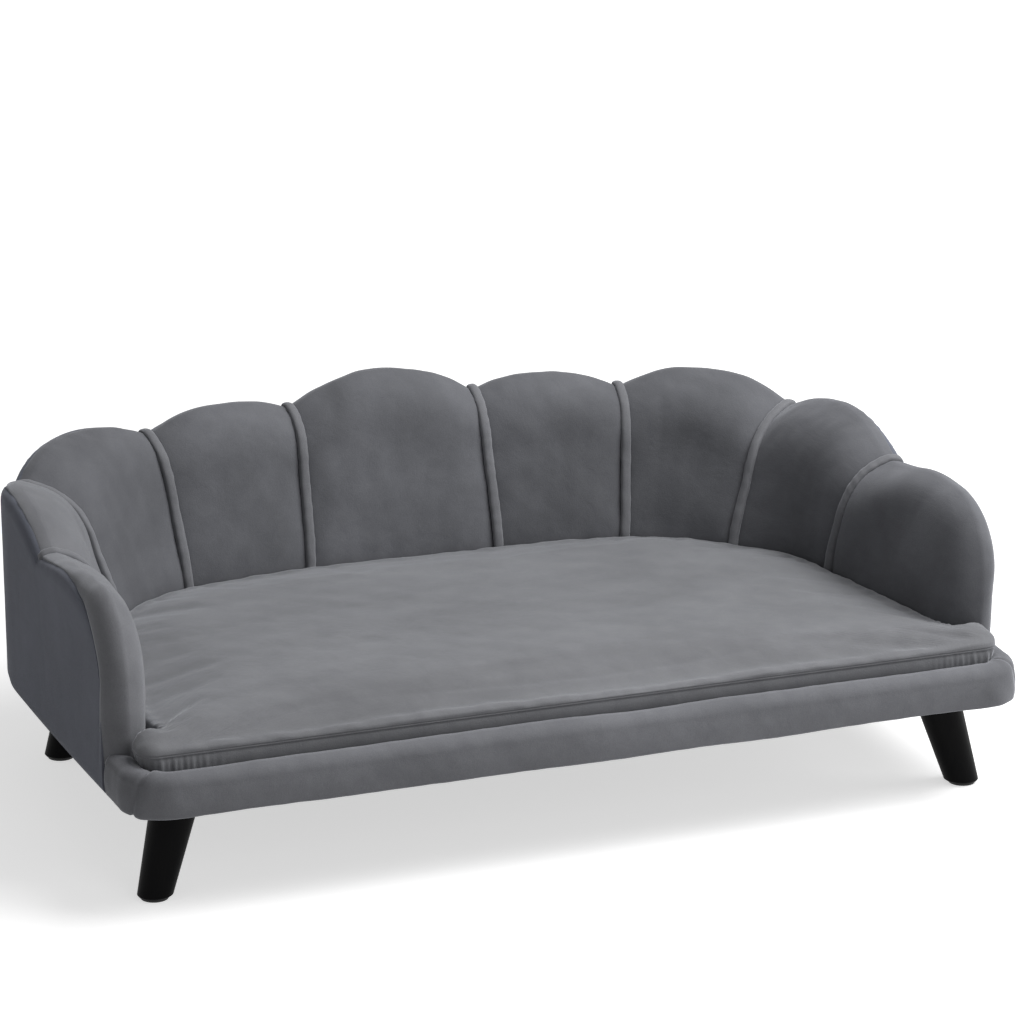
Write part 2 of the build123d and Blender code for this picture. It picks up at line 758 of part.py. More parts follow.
# Frame of the slab
deck_screws = [deck_screw(spot) for spot in deck_screw_places()]
shell_bolts = [shell_bolt(spot) for spot in shell_bolt_places()]
blocks = [largest(cut_all(corner_block(*place), shell_bolts)) for place in leg_places]
write_group(blocks, "corner_blocks")
core = slab_layer(board_inset, rail_bottom, front_rail_top)
hollow = slab_layer(rail_inner_inset, rail_bottom - overrun, slab_top + overrun)
ring = cut_all(slab_layer(board_inset, rail_bottom, rail_top) - hollow, deck_screws + shell_bolts)
front_rail = core & strip_box(front_rail_face, front_rail_back, rail_bottom, front_rail_top)
write(largest(front_rail), "front_rail")
rear_rail = ring & strip_box(wall.corner_y - front, depth, rail_bottom, rail_top)
write(largest(rear_rail), "rear_rail")
side_rails = ring & strip_box(front_rail_back, wall.corner_y - front, rail_bottom, rail_top)
left_rail, right_rail = side_rails.solids().sort_by(Axis.X)
write(left_rail, "left_side_rail")
write(right_rail, "right_side_rail")
for name, hand in (("left_cross_rail", -1), ("right_cross_rail", 1)):
    middle = hand * cross_rail_spacing / 2
    low = Vector(middle - cross_rail_width / 2, front + front_rail_back, rail_bottom)
    high = Vector(middle + cross_rail_width / 2, front + depth, rail_top)
    write(largest(box_between(low, high) & hollow), name)
deck_zone = strip_box(front_rail_back, depth, rail_bottom, slab_top)
deck = slab_layer(board_inset, rail_top, deck_panel_top) & deck_zone
write(largest(cut_all(deck, deck_screws + shell_bolts)), "deck_panel")
deck_cover = slab_layer(board_inset, deck_panel_top, deck_top) & deck_zone
write(largest(cut_all(deck_cover, shell_bolts)), "deck_cover")
dust_cover = slab_layer(dust_cover_margin, slab_bottom, rail_bottom)
dust_cover = dust_cover & strip_box(front_rail_face, depth, slab_bottom - overrun, slab_top)
write(largest(cut_all(dust_cover, bolts + screws)), "dust_cover")
write_group(deck_screws, "deck_screws")

# Padded panels of the shell
envelope = wall_envelope()
plain_wall = slab_solid(plate_inset, plate_inset, slab_bottom, slab_top + depth, slab_corner_radius - plate_inset)
outside = strip_box(-overrun, depth + overrun, slab_bottom, cusp_heights[0] + overrun) - plain_wall
board_cutter = outside & envelope
plate_ring = slab_layer(plate_inset, deck_top, deck_top + base_plate_height)
plate_ring = plate_ring - slab_layer(plate_inset + base_plate_width, deck_top - overrun, slab_top + overrun)
base_plate = plate_ring & strip_box(roll_zone + rail_width, depth, deck_top, slab_top + overrun)
panel_count = 2 * len(lobe_rises) + 1
centre = len(lobe_rises) + 1
noses = []
for panel in range(len(lobe_rises) + 1):
    outer = panel_loft(panel, 0)
    inner = panel_loft(panel, cover_thickness)
    if panel == len(lobe_rises):
        noses = [outer, mirror(outer, about=Plane.YZ)]
    outer = outer - board_cutter
    inner = inner - board_cutter
    panel_cover = largest(outer - inner)
    foam = largest(inner - base_plate)
    write(panel_cover, f"channel_cover_{centre + panel}")
    write(foam, f"channel_foam_{centre + panel}")
    if panel:
        write(mirror(panel_cover, about=Plane.YZ), f"channel_cover_{centre - panel}")
        write(mirror(foam, about=Plane.YZ), f"channel_foam_{centre - panel}")

# Piping in the seams
below_deck = strip_box(-overrun, depth + overrun, slab_bottom - overrun, deck_top)
for index in range(len(seam_crest_shares)):
    piping = seam_piping(index, (board_cutter, base_plate, below_deck))
    write(piping, f"piping_{centre + index}")
    write(mirror(piping, about=Plane.YZ), f"piping_{centre - index - 1}")

# Shell board, base plate, wadding and outer cover
inserts = [shell_insert(spot) for spot in shell_bolt_places()]
write(largest(cut_all(base_plate, inserts + shell_bolts)), "shell_base_plate")
write_group(shell_bolts, "shell_bolts")
write_group(inserts, "shell_inserts")
tall = cusp_heights[0] + overrun
above_deck = envelope & strip_box(-overrun, depth + overrun, deck_top, tall)
board = (slab_layer(board_inset, deck_top, tall) - slab_layer(plate_inset, deck_top, tall)) & above_deck
write(largest(board), "shell_board")
above_floor = envelope & strip_box(roll_zone, depth + overrun, slab_bottom, tall)
wadding = (slab_layer(cover_thickness, slab_bottom, tall) - slab_layer(board_inset, slab_bottom, tall)) & above_floor
write(largest(wadding), "outer_wadding")
outer_cover = (slab_layer(0, slab_bottom, tall) - slab_layer(cover_thickness, slab_bottom, tall)) & above_floor
write(largest(outer_cover), "outer_cover")

# Padded roll along the front edge
def roll_solid(inset):
    """Front part of the slab with rounded top edges, less the well of the cushion."""
    block = slab_solid(inset, inset, slab_bottom, slab_top - inset, slab_corner_radius - inset,
                       roll_edge_radius - inset)
    well = slab_solid(roll_width - inset, roll_width - inset, deck_top, slab_top + overrun, well_corner_radius)
    return (block - well) & strip_box(-overrun, roll_zone, slab_bottom, slab_top)


core_zone = slab_layer(board_inset, slab_bottom, deck_top) & strip_box(front_rail_face, depth, slab_bottom, slab_top)
roll_outer = cut_all(roll_solid(0), [core_zone, front_rail] + noses)
roll_inner = cut_all(roll_solid(cover_thickness), [core_zone, front_rail] + noses)
write(largest(roll_outer - roll_inner), "front_edge_cover")
write(largest(roll_inner), "front_edge_foam")

# Seat cushion with its zip
zip_y = front + seat_reach - zip_setback
zip_length = 2 * (seat.corner_x + zip_past_corner)
zip_groove_width = zip_tape_width + 2 * zip_groove_margin
zip_slider_width = zip_coil_width + 2 * (zip_slider_post + zip_slider_clearance)
groove = Pos(0, zip_y, deck_top + zip_groove_depth / 2) * Box(
    zip_length + zip_groove_width, zip_groove_width, zip_groove_depth)
cushion_outer = cushion_solid(0)
cushion_inner = cushion_solid(cushion_cover_thickness)
groove_lining = Pos(0, zip_y, deck_top + zip_groove_depth / 2 + cushion_cover_thickness) * Box(
    zip_length + zip_groove_width + 2 * cushion_cover_thickness,
    zip_groove_width + 2 * cushion_cover_thickness,
    zip_groove_depth,
)
cushion_core = cushion_inner - groove_lining - groove
write(largest(cushion_outer - cushion_core - groove), "cushion_cover")
write(largest(cushion_core), "cushion_foam")
tape_top = deck_top + zip_groove_depth
tape = Pos(0, zip_y, tape_top - zip_tape_thickness / 2) * Box(zip_length, zip_tape_width, zip_tape_thickness)
coil_low = tape_top - zip_tape_thickness - zip_coil_thickness
coil = Pos(0, zip_y, coil_low + zip_coil_thickness / 2) * Box(zip_length, zip_coil_width, zip_coil_thickness)
write(largest(tape + coil), "zip_tape")
slider_x = zip_length / 2 - zip_slider_length
plate_low = coil_low - zip_play - zip_slider_plate
slider = Pos(slider_x, zip_y, plate_low + zip_slider_plate / 2) * Box(
    zip_slider_length, zip_slider_width, zip_slider_plate)
slider = fillet(slider.edges().filter_by(Axis.Z), zip_slider_post)
wall_height = zip_coil_thickness + zip_play
for hand in (-1, 1):
    offset = hand * (zip_slider_width - zip_slider_post) / 2
    rail = Pos(slider_x, zip_y + offset, plate_low + zip_slider_plate + wall_height / 2) * Box(
        zip_slider_length - 2 * zip_slider_post, zip_slider_post, wall_height)
    slider = slider + rail
pull_x = slider_x - zip_slider_length / 2 - zip_play - zip_pull_length / 2
pull = Pos(pull_x, zip_y, plate_low + zip_slider_plate - zip_pull_thickness / 2) * Box(
    zip_pull_length, zip_pull_width, zip_pull_thickness)
pull = fillet(pull.edges().filter_by(Axis.Z), zip_pull_width / 3)
write_group([largest(slider), largest(pull)], "zip_slider")
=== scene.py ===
import math

import bmesh
import bpy
import numpy as np
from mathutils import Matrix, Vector, kdtree


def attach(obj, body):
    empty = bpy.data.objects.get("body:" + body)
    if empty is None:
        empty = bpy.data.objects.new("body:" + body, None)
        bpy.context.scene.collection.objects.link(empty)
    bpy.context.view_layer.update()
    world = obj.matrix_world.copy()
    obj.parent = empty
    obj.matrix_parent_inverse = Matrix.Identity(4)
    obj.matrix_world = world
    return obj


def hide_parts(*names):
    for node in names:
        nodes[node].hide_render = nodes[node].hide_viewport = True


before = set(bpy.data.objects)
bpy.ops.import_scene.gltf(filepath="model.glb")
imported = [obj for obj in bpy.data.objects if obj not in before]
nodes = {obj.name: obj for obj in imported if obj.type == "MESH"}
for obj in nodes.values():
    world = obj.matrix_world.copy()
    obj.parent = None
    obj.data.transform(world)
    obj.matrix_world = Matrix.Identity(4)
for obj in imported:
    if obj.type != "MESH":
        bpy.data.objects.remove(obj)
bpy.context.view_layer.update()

# Sizes in metres, in the same frame as the part
DEPTH = 0.680
FRONT = -DEPTH / 2
SLAB_BOTTOM = 0.107
SLAB_TOP = 0.152
SLAB_CORNER = 0.050
DECK_TOP = 0.139
ARM_FRONT = 0.076

# Plans of the wall's outside and of the seat: half width, corner radius, reach and flare
BACK_TURN = math.radians(80)
WALL_PLAN = (0.500, 0.232, DEPTH, 0.010)
SEAT_PLAN = (0.446, 0.190, 0.580, 0.004)

# Crest of the wall: heights at the seams, rises over the channels, places of the seams
CUSPS = (0.326, 0.318, 0.306, 0.294)
RISES = (0.032, 0.016, 0.023, 0.025)
CREST_SHARES = (0.115, 0.295, 0.521, 0.755)
FOOT_SHARES = (0.135, 0.310, 0.481, 0.668)
ARM_CREST = 0.308
ARM_RISE_SHARE = 0.85
NOSE_RADIUS = 0.078
NOSE_Y = ARM_FRONT + NOSE_RADIUS
NOSE_Z = ARM_CREST - NOSE_RADIUS

# Runs along the arm's crest, and the places of its foot behind the front that match them
ARM_RUNS = (0.080, 0.155, 0.185, 0.215, 0.245, 0.275, 0.330)
ARM_FEET = (0.310, 0.250, 0.222, 0.200, 0.180, 0.166, 0.155)
ARM_FOOT_END = 0.146

# Padding at shares of the seat line: crest width, shoulder depth, extra thickness at the foot
PAD_SHARES = (0.0, 0.135, 0.31, 0.40, 0.481, 0.56, 0.668, 0.80, 0.90, 1.0)
PAD_TOP = (0.068, 0.070, 0.075, 0.085, 0.095, 0.088, 0.075, 0.061, 0.053, 0.050)
PAD_SHOULDER = (0.048, 0.050, 0.050, 0.054, 0.060, 0.060, 0.060, 0.052, 0.047, 0.045)
PAD_EXTRA = (0.000, 0.000, 0.002, 0.019, 0.036, 0.033, 0.026, 0.012, 0.003, 0.000)

# Section of a channel: its pinch at the seams, its crown, and its joint with the outer cover
PINCH = 0.0075
PINCH_FOOT_SHARE = 0.7
PINCH_CREST_SHARE = 0.35
CREST_OFFSET = 0.022
FACE_BULGE = 0.006
LEAST_BULGE = 0.001
FACE_SHARES = (0.70, 0.34)
BULGE_SHARES = (0.4, 0.8)
FOOT_LEAN_SHARE = 0.16
FOOT_TUCK = 0.002
BOARD_BACK = 0.017
BOARD_CLEARANCE = 0.012
JOINT = (0.0085, 0.0035)
NOSE_JOINT = (0.0008, 0.0320)
NOSE_JOINT_RUNS = (0.05, 0.26)
NOSE_PAD_RUN = 0.24
ARM_FILL_RUN = 0.11
LOOP_COUNTS = (12, 18, 46)
FACE_PASSES = 40
CENTRE_CHANNEL = 5
ARM_PANEL = 4

# Piping and its stitches
BEAD = 0.005
BEAD_ROOM = BEAD * 0.64
BEAD_RADII = (BEAD * 1.12, BEAD * 0.92)
BEAD_FULL_SHARE = 0.48
BEAD_TUCK = ((0.0045, -0.0130), (0.0030, -0.0080), (0.0012, -0.0035))
BEAD_SQUARENESS = 0.75
STITCH_PITCH = 0.0042
STITCH_SHARE = 0.72
STITCH_RADIUS = 0.0006
STITCH_TAPER = (0.35, 0.85, 1.0, 0.85, 0.35)
STITCH_SINK = STITCH_RADIUS * 1.2
STITCH_SIDE = BEAD * 0.80
STITCH_OUT = BEAD * 0.70

# Outer cover: its rolled edge, and its hidden lip as insets and drops
EDGE_ROLL = 0.015
EDGE_LIFT = 0.0004
FOOT_ROLL = 0.006
FOOT_INSET = 0.004
COVER_THICKNESS = 0.0016
LIP_INSETS = (0.0016, 0.0050, 0.0085)
LIP_DROPS = (0.0001, 0.0012, 0.0060)
END_INSETS = (0.0020, 0.0050, 0.0080)
END_STEP = 0.0002
END_RUN = 0.09

# Padded roll along the front
ROLL_WIDTH = 0.028
ROLL_END = 0.0885
ROLL_FOOT = 0.005
ROLL_EDGE = 0.013
ROLL_EDGE_RISE = 0.0135
ROLL_BULGE = 0.0012
ROLL_INNER_START = 0.015
ROLL_INNER_DROP = 0.011
ROLL_INNER_RISE = 0.0115
ROLL_BACK = 0.030
ROLL_INSIDE = 0.027
MITRE_TURN = math.radians(60)
MITRE_LEAN = 0.30

# Seat cushion
SIDE_GAP = 0.0008
FRONT_GAP = 0.0015
EAR_CORNER = 0.021
EAR_BACK_CORNER = 0.012
NOTCH = 0.003
EAR_REACH = 0.0100
EAR_GAP = 0.001
CUSHION_BASE = DECK_TOP + 0.0003
CUSHION_RISE = 0.0245
CUSHION_FALL = 0.0115
CUSHION_DEPTH = 0.552
CUSHION_MIDDLE = 0.300
BOXING_BULGE = 0.0022
BOXING_INSET = 0.0026
GATHER_PITCH = 0.0074
GATHER_DEPTH = 0.0007
SEAM_RISES = (-0.0018, -0.0008, 0.0000)
SEAM_INSETS = (0.0012, 0.0013, 0.0019)
EDGE_INSETS = (0.0013, 0.0014, 0.0018, 0.0025, 0.0034, 0.0046, 0.0060, 0.0076, 0.0094)
CROWN_RUN = 0.170
CROWN_RISE = 0.0078
EDGE_RISE = 0.0068
ARM_CROWN_RISE = 0.0095
CROWN_LIFT = 0.0004
WALL_ROUND_RUN = 0.007
FRONT_ROUND_RUN = 0.009
ZIP_Y = FRONT + 0.510
ZIP_POCKET = (0.273, 0.0130)
ZIP_DEPTH = 0.0054

# Cloth simulation of the cushion
VOXEL = 0.006
FRAMES = 20
CLOTH_GROWTH = 0.12
CLOTH_CAP = 0.007
CORE_HOLD_SHARE = 0.06
SPARE_SHARE = 0.10

# Thin cloths on the deck and under the frame
CLOTH_MIDDLE = 0.33


# Plan of the wall and of the seat
class PlanCurve:
    """Right half of a D-shaped plan, as in the part: back arc, corner arc, side arc."""

    def __init__(self, half_width, corner, reach, flare):
        corner_x = half_width - corner
        back = corner_x / math.cos(BACK_TURN) + corner
        self.corner_y = FRONT + reach - back * (1 - math.sin(BACK_TURN)) - corner * math.sin(BACK_TURN)
        side = ((self.corner_y - FRONT) ** 2 + flare ** 2) / (2 * flare)
        back_run = back * (math.pi / 2 - BACK_TURN)
        self.centres = np.array([
            (0.0, FRONT + reach - back), (corner_x, self.corner_y), (half_width - side, self.corner_y)])
        self.radii = np.array([back, corner, side])
        self.turns = np.array([math.pi / 2, BACK_TURN, 0.0])
        self.starts = np.array([0.0, back_run, back_run + corner * BACK_TURN])

    def locate(self, run):
        """Points and outward directions for an array of runs from the middle of the back."""
        hand = np.where(np.asarray(run) < 0, -1.0, 1.0)
        run = np.abs(np.asarray(run, float))
        part = np.searchsorted(self.starts[1:], run, side="right")
        angle = self.turns[part] - (run - self.starts[part]) / self.radii[part]
        return self.on_arc(part, angle, hand)

    def on_arc(self, part, angle, hand):
        """Points and outward directions on the arcs, mirrored where hand is -1."""
        out = np.stack([np.cos(angle), np.sin(angle)], -1)
        points = self.centres[part] + self.radii[part][..., None] * out
        mirror = np.stack([hand, np.ones_like(hand)], -1)
        return points * mirror, out * mirror

    def run_to(self, ahead):
        """Run at a distance behind the front line, on the side."""
        return self.starts[2] + (self.corner_y - FRONT - np.asarray(ahead, float))

    def seek(self, p):
        """Arc, and angle on it, of the curve's nearest point to points of the right half."""
        p = p[..., :2]
        corner_gap = p - self.centres[1]
        beyond = np.arctan2(corner_gap[..., 1], corner_gap[..., 0]) > BACK_TURN
        part = np.where(p[..., 1] < self.corner_y, 2, np.where(beyond, 0, 1))
        gap = p - self.centres[part]
        return part, np.arctan2(gap[..., 1], gap[..., 0])

    def nearest(self, p):
        """Foot of the shortest line from points p to the curve."""
        hand = np.where(p[..., 0] < 0, -1.0, 1.0)
        part, angle = self.seek(np.stack([np.abs(p[..., 0]), p[..., 1]], -1))
        return self.on_arc(part, angle, hand)[0]

    def run_at(self, p):
        """Run of the curve's nearest point to points of the right half."""
        part, angle = self.seek(p)
        return self.starts[part] + self.radii[part] * (self.turns[part] - angle)


wall = PlanCurve(*WALL_PLAN)
seat = PlanCurve(*SEAT_PLAN)
WALL_RUN = float(wall.run_to(ARM_FRONT))
SEAT_RUN = float(seat.run_to(ARM_FRONT))


# Number helpers
WAVE_SPREAD = (0.5, 1.6)
WAVE_PEAK = 1.6
PHASES = 6.28


def waves(co, seed, scale, count=10):
    """Smooth seeded noise from summed sines, about -1 to 1, for many points at once."""
    rng = np.random.default_rng(seed)
    total = np.zeros(len(co))
    for _ in range(count):
        direction = rng.normal(size=3)
        direction /= np.linalg.norm(direction)
        pace = scale * rng.uniform(*WAVE_SPREAD)
        total += np.sin(co @ direction * pace * 2 * math.pi + rng.uniform(0, PHASES))
    return total / math.sqrt(count / 2) / WAVE_PEAK


def smooth(x, low, high):
    """Smooth step from 0 at low to 1 at high."""
    t = np.clip((x - low) / (high - low), 0, 1)
    return t * t * (3 - 2 * t)


def hump(x, middle, width):
    """Bell curve of height 1."""
    return np.exp(-((x - middle) / width) ** 2)


def unit(rows):
    return rows / np.linalg.norm(rows, axis=1)[:, None]


def path_runs(path):
    """Distance of each point of a path from its start."""
    return np.concatenate([[0], np.cumsum(np.linalg.norm(np.diff(path, axis=0), axis=1))])


def along(rows, runs, places):
    """Rows of a path at given places along it."""
    return np.column_stack([np.interp(places, runs, column) for column in rows.T])


def settle(rows, passes):
    """Light smoothing of an open row of points, its ends kept."""
    for _ in range(passes):
        rows[1:-1] = 0.25 * rows[:-2] + 0.5 * rows[1:-1] + 0.25 * rows[2:]
    return rows


def settle_loop(loop, passes):
    for _ in range(passes):
        loop = 0.25 * np.roll(loop, 1, 0) + 0.5 * loop + 0.25 * np.roll(loop, -1, 0)
    return loop


def arc(centre, radius, start, end, count, endpoint=True):
    """Points of an arc in plan, from one angle in degrees to another."""
    turn = np.radians(np.linspace(start, end, count, endpoint=endpoint))
    return np.column_stack([centre[0] + radius * np.cos(turn), centre[1] + radius * np.sin(turn)])


def mirrored(points):
    return points * [-1, 1, 1]


# Mesh helpers
def link(obj):
    bpy.context.scene.collection.objects.link(obj)
    return obj


def make_object(name, verts, faces, material, smooth_shade=True):
    mesh = bpy.data.meshes.new(name)
    mesh.from_pydata([tuple(v) for v in verts], [], faces)
    mesh.update()
    if smooth_shade:
        mesh.polygons.foreach_set("use_smooth", [True] * len(mesh.polygons))
    mesh.materials.append(material)
    bm = bmesh.new()
    bm.from_mesh(mesh)
    bmesh.ops.recalc_face_normals(bm, faces=bm.faces)
    bm.to_mesh(mesh)
    bm.free()
    return link(bpy.data.objects.new(name, mesh))


def tube_grid(grid):
    """Vertices and faces of a grid whose second axis is a closed loop, with both ends closed."""
    idx = np.arange(grid.shape[0] * grid.shape[1]).reshape(grid.shape[:2])
    a, b = idx[:-1], idx[1:]
    faces = np.stack([a, b, np.roll(b, -1, 1), np.roll(a, -1, 1)], -1).reshape(-1, 4).tolist()
    faces.append(idx[0].tolist())
    faces.append(idx[-1, ::-1].tolist())
    return grid.reshape(-1, 3), faces


def ring_quads(idx):
    """Faces between closed rings of vertex numbers."""
    a, b = idx[:-1], idx[1:]
    return np.stack([a, np.roll(a, -1, 1), np.roll(b, -1, 1), b], -1).reshape(-1, 4)


def read_points(collection, field):
    values = np.empty(len(collection) * 3, np.float32)
    collection.foreach_get(field, values)
    return values.reshape(-1, 3).astype(float)


def coords(obj):
    return read_points(obj.data.vertices, "co")


def set_coords(obj, co):
    obj.data.vertices.foreach_set("co", co.astype(np.float32).ravel())
    obj.data.update()


def displace(obj, amount):
    """Move the points along their normals by amount(points, normals)."""
    co = coords(obj)
    no = read_points(obj.data.vertices, "normal")
    set_coords(obj, co + no * amount(co, no)[:, None])


# Sections of the padded wall
def lobe_height(panel, share):
    """Height of the crest over a channel; 0 is the centre one."""
    rise = RISES[panel] * 4 * share * (1 - share)
    if panel == 0:
        return CUSPS[0] + rise
    start, end = CUSPS[panel - 1], CUSPS[panel]
    return start + (end - start) * share + rise


def crest_at(run, height):
    points, _ = wall.locate(run)
    return np.column_stack([points, height])


def sections(foot_run, crest):
    """Frames of slanted wall sections: outer foot, across, up, thickness, height."""
    foot_in, _ = seat.locate(foot_run)
    deck = np.full(len(foot_run), DECK_TOP)
    outer = np.column_stack([wall.nearest(foot_in), deck])
    across = np.column_stack([foot_in, deck]) - outer
    thick = np.linalg.norm(across, axis=1)
    across /= thick[:, None]
    lean = crest - outer
    up = lean - across * np.sum(lean * across, 1)[:, None]
    height = np.linalg.norm(up, axis=1)
    up /= height[:, None]
    return outer, across, up, thick, height


def place_loop(loop, outer, across, up):
    """Points of a loop given as (across, up) in the frame of one section."""
    return outer + across * loop[:, :1] + up * loop[:, 1:]


def behind_front(curve, run):
    return float(curve.locate(np.array([run]))[0][0, 1] - FRONT)


def arm_path(count):
    """Crest of the arm from its seam round the nose to the deck, with the matching feet."""
    seam_y = behind_front(wall, CREST_SHARES[3] * WALL_RUN)
    top_y = np.linspace(seam_y, NOSE_Y, 60)
    rise = smooth((seam_y - top_y) / (seam_y - NOSE_Y), 0.0, ARM_RISE_SHARE)
    top_z = CUSPS[3] + (ARM_CREST - CUSPS[3]) * rise
    nose = arc((NOSE_Y, NOSE_Z), NOSE_RADIUS, 90, 180, 40)[1:]
    low_z = np.linspace(NOSE_Z, DECK_TOP, 24)[1:]
    crest = np.concatenate([
        np.column_stack([top_y, top_z]),
        nose,
        np.column_stack([np.full(len(low_z), ARM_FRONT), low_z]),
    ])
    runs = path_runs(crest)
    total = runs[-1]
    places = BEAD_ROOM + (total - BEAD_ROOM) * np.linspace(0, 1, count)
    seam_foot = behind_front(seat, FOOT_SHARES[3] * SEAT_RUN)
    foot_y = np.interp(places, (0, *ARM_RUNS, total), (seam_foot, *ARM_FEET, ARM_FOOT_END))
    foot_y[3:-3] = np.convolve(foot_y, np.ones(7) / 7, "valid")
    crest_y, crest_z = along(crest, runs, places).T
    return crest_y, crest_z, foot_y, places


def pad_size(share):
    """Crest width, shoulder depth and extra thickness at the foot for a share of the seat line."""
    return [np.interp(share, PAD_SHARES, sizes) for sizes in (PAD_TOP, PAD_SHOULDER, PAD_EXTRA)]


def bezier(points, count):
    """Cubic curve through two ends, drawn by two points between them."""
    s = np.linspace(0, 1, count)[:, None]
    weights = ((1 - s) ** 3, 3 * (1 - s) ** 2 * s, 3 * (1 - s) * s ** 2, s ** 3)
    return sum(weight * np.array(point) for weight, point in zip(weights, points))


def profile_loop(thick, height, full, joint, pad):
    """Closed loop of the padded section in (across, up), starting at the outer joint."""
    joint_across, drop = joint
    crest_width, shoulder, extra = pad
    pinch = PINCH * (1 - full)
    top = crest_width - pinch
    foot = np.maximum(thick + extra - pinch * PINCH_FOOT_SHARE, top)
    peak = height - pinch * PINCH_CREST_SHARE
    bulge = FACE_BULGE * full + LEAST_BULGE
    joint_count, shoulder_count, face_count = LOOP_COUNTS

    turn = np.linspace(0, math.pi / 2, joint_count, endpoint=False)
    joint_side = np.stack([CREST_OFFSET - (CREST_OFFSET - joint_across) * np.cos(turn),
                           peak - drop + drop * np.sin(turn)], -1)
    turn = np.linspace(0, math.pi / 2, shoulder_count, endpoint=False)
    shoulder_side = np.stack([CREST_OFFSET + (top - CREST_OFFSET) * np.sin(turn),
                              peak - shoulder + shoulder * np.cos(turn)], -1)
    face_height = peak - shoulder
    face = bezier([
        (top, face_height),
        (top + bulge * BULGE_SHARES[0] + (foot - top) * FOOT_LEAN_SHARE, face_height * FACE_SHARES[0]),
        (foot + bulge * BULGE_SHARES[1], face_height * FACE_SHARES[1]),
        (foot - FOOT_TUCK, 0.0),
    ], face_count)
    inside = settle(np.concatenate([shoulder_side, face]), FACE_PASSES)
    back_top = peak - drop - BOARD_CLEARANCE
    back = [(BOARD_BACK, share * back_top) for share in (0.0, 0.5, 1.0)]
    return np.concatenate([joint_side, inside, back])


def pillow(u):
    """Fullness across a channel: full in the middle, drawn in steeply at its seams."""
    return np.clip(1 - np.abs(2 * u - 1) ** 2.6, 0, 1) ** 0.55


def back_channel(panel, count=57):
    """Sections of a channel between two seams: frames, fullness, joints, crest and foot shares."""
    even = np.linspace(0, 1, count)
    u = 0.35 * (0.5 - 0.5 * np.cos(math.pi * even)) + 0.65 * even
    runs = []
    for shares, total in ((CREST_SHARES, WALL_RUN), (FOOT_SHARES, SEAT_RUN)):
        end = shares[panel] * total
        start = -end if panel == 0 else shares[panel - 1] * total
        runs.append(start + BEAD_ROOM + (end - start - 2 * BEAD_ROOM) * u)
    crest_run, foot_run = runs
    frames = sections(foot_run, crest_at(crest_run, lobe_height(panel, u)))
    shares = np.abs(foot_run) / SEAT_RUN
    return frames, pillow(u), np.tile(JOINT, (count, 1)), shares, shares


def arm_channel(count=84):
    """Sections of the arm's channel, from its seam round the nose, as back_channel gives them."""
    crest_y, crest_z, foot_y, places = arm_path(count)
    foot_run = seat.run_to(foot_y)
    frames = sections(foot_run, crest_at(wall.run_to(crest_y), crest_z))
    down = smooth(places, *NOSE_JOINT_RUNS)[:, None]
    joint = np.array(JOINT) * (1 - down) + np.array(NOSE_JOINT) * down
    full = pillow(np.clip(places / ARM_FILL_RUN, 0, 1) / 2)
    crest_shares = FOOT_SHARES[3] + (1 - FOOT_SHARES[3]) * smooth(places, 0.0, NOSE_PAD_RUN)
    return frames, full, joint, crest_shares, foot_run / SEAT_RUN


def channel_points(panel):
    """Grid of points of one padded channel of the right half; 0 is the centre one."""
    channel = arm_channel() if panel == ARM_PANEL else back_channel(panel)
    frames, full, joint, crest_shares, foot_shares = channel
    outer, across, up, thick, height = frames
    rows = []
    for i in range(len(full)):
        crest_width, shoulder, _ = pad_size(crest_shares[i])
        extra = pad_size(foot_shares[i])[2]
        loop = profile_loop(thick[i], height[i], full[i], joint[i], (crest_width, shoulder, extra))
        rows.append(place_loop(loop, outer[i], across[i], up[i]))
    return np.array(rows)


# Material helpers
def fill(tree, node, inputs):
    """Give a node's inputs their values, or link them to other nodes' outputs."""
    for socket, value in inputs.items():
        if isinstance(value, bpy.types.NodeSocket):
            tree.links.new(value, node.inputs[socket])
        else:
            node.inputs[socket].default_value = value
    return node


def add_node(tree, kind, inputs):
    return fill(tree, tree.nodes.new("ShaderNode" + kind), inputs)


def empty_tree(owner):
    owner.use_nodes = True
    owner.node_tree.nodes.clear()
    return owner.node_tree


def new_material(name):
    mat = bpy.data.materials.new(name)
    tree = empty_tree(mat)
    bsdf = add_node(tree, "BsdfPrincipled", {})
    add_node(tree, "OutputMaterial", {"Surface": bsdf.outputs["BSDF"]})
    return mat, tree, bsdf


def object_coords(tree):
    return add_node(tree, "TexCoord", {}).outputs["Object"]


def noise(tree, coord, scale, detail=4, rough=0.55, distortion=0.0, stretch=(1, 1, 1)):
    place = add_node(tree, "Mapping", {"Vector": coord, "Scale": stretch}).outputs["Vector"]
    return add_node(tree, "TexNoise", {
        "Vector": place, "Scale": scale, "Detail": detail, "Roughness": rough, "Distortion": distortion,
    }).outputs["Fac"]


def ramp(tree, fac, *stops):
    """Colours between stops, each a place and a colour or a grey."""
    node = add_node(tree, "ValToRGB", {"Fac": fac})
    elements = node.color_ramp.elements
    while len(elements) < len(stops):
        elements.new(0.5)
    for element, (place, colour) in zip(elements, stops):
        element.position = place
        element.color = (*colour, 1) if isinstance(colour, tuple) else (colour, colour, colour, 1)
    return node.outputs["Color"]


def multiply(tree, first, second):
    """Product of two colours: input 0 is the factor, 6 and 7 are the colours, output 2 is the result."""
    node = tree.nodes.new("ShaderNodeMix")
    node.data_type = "RGBA"
    node.blend_type = "MULTIPLY"
    return fill(tree, node, {0: 1.0, 6: first, 7: second}).outputs[2]


def between(tree, fac, low, high):
    return add_node(tree, "MapRange", {"Value": fac, "To Min": low, "To Max": high}).outputs["Result"]


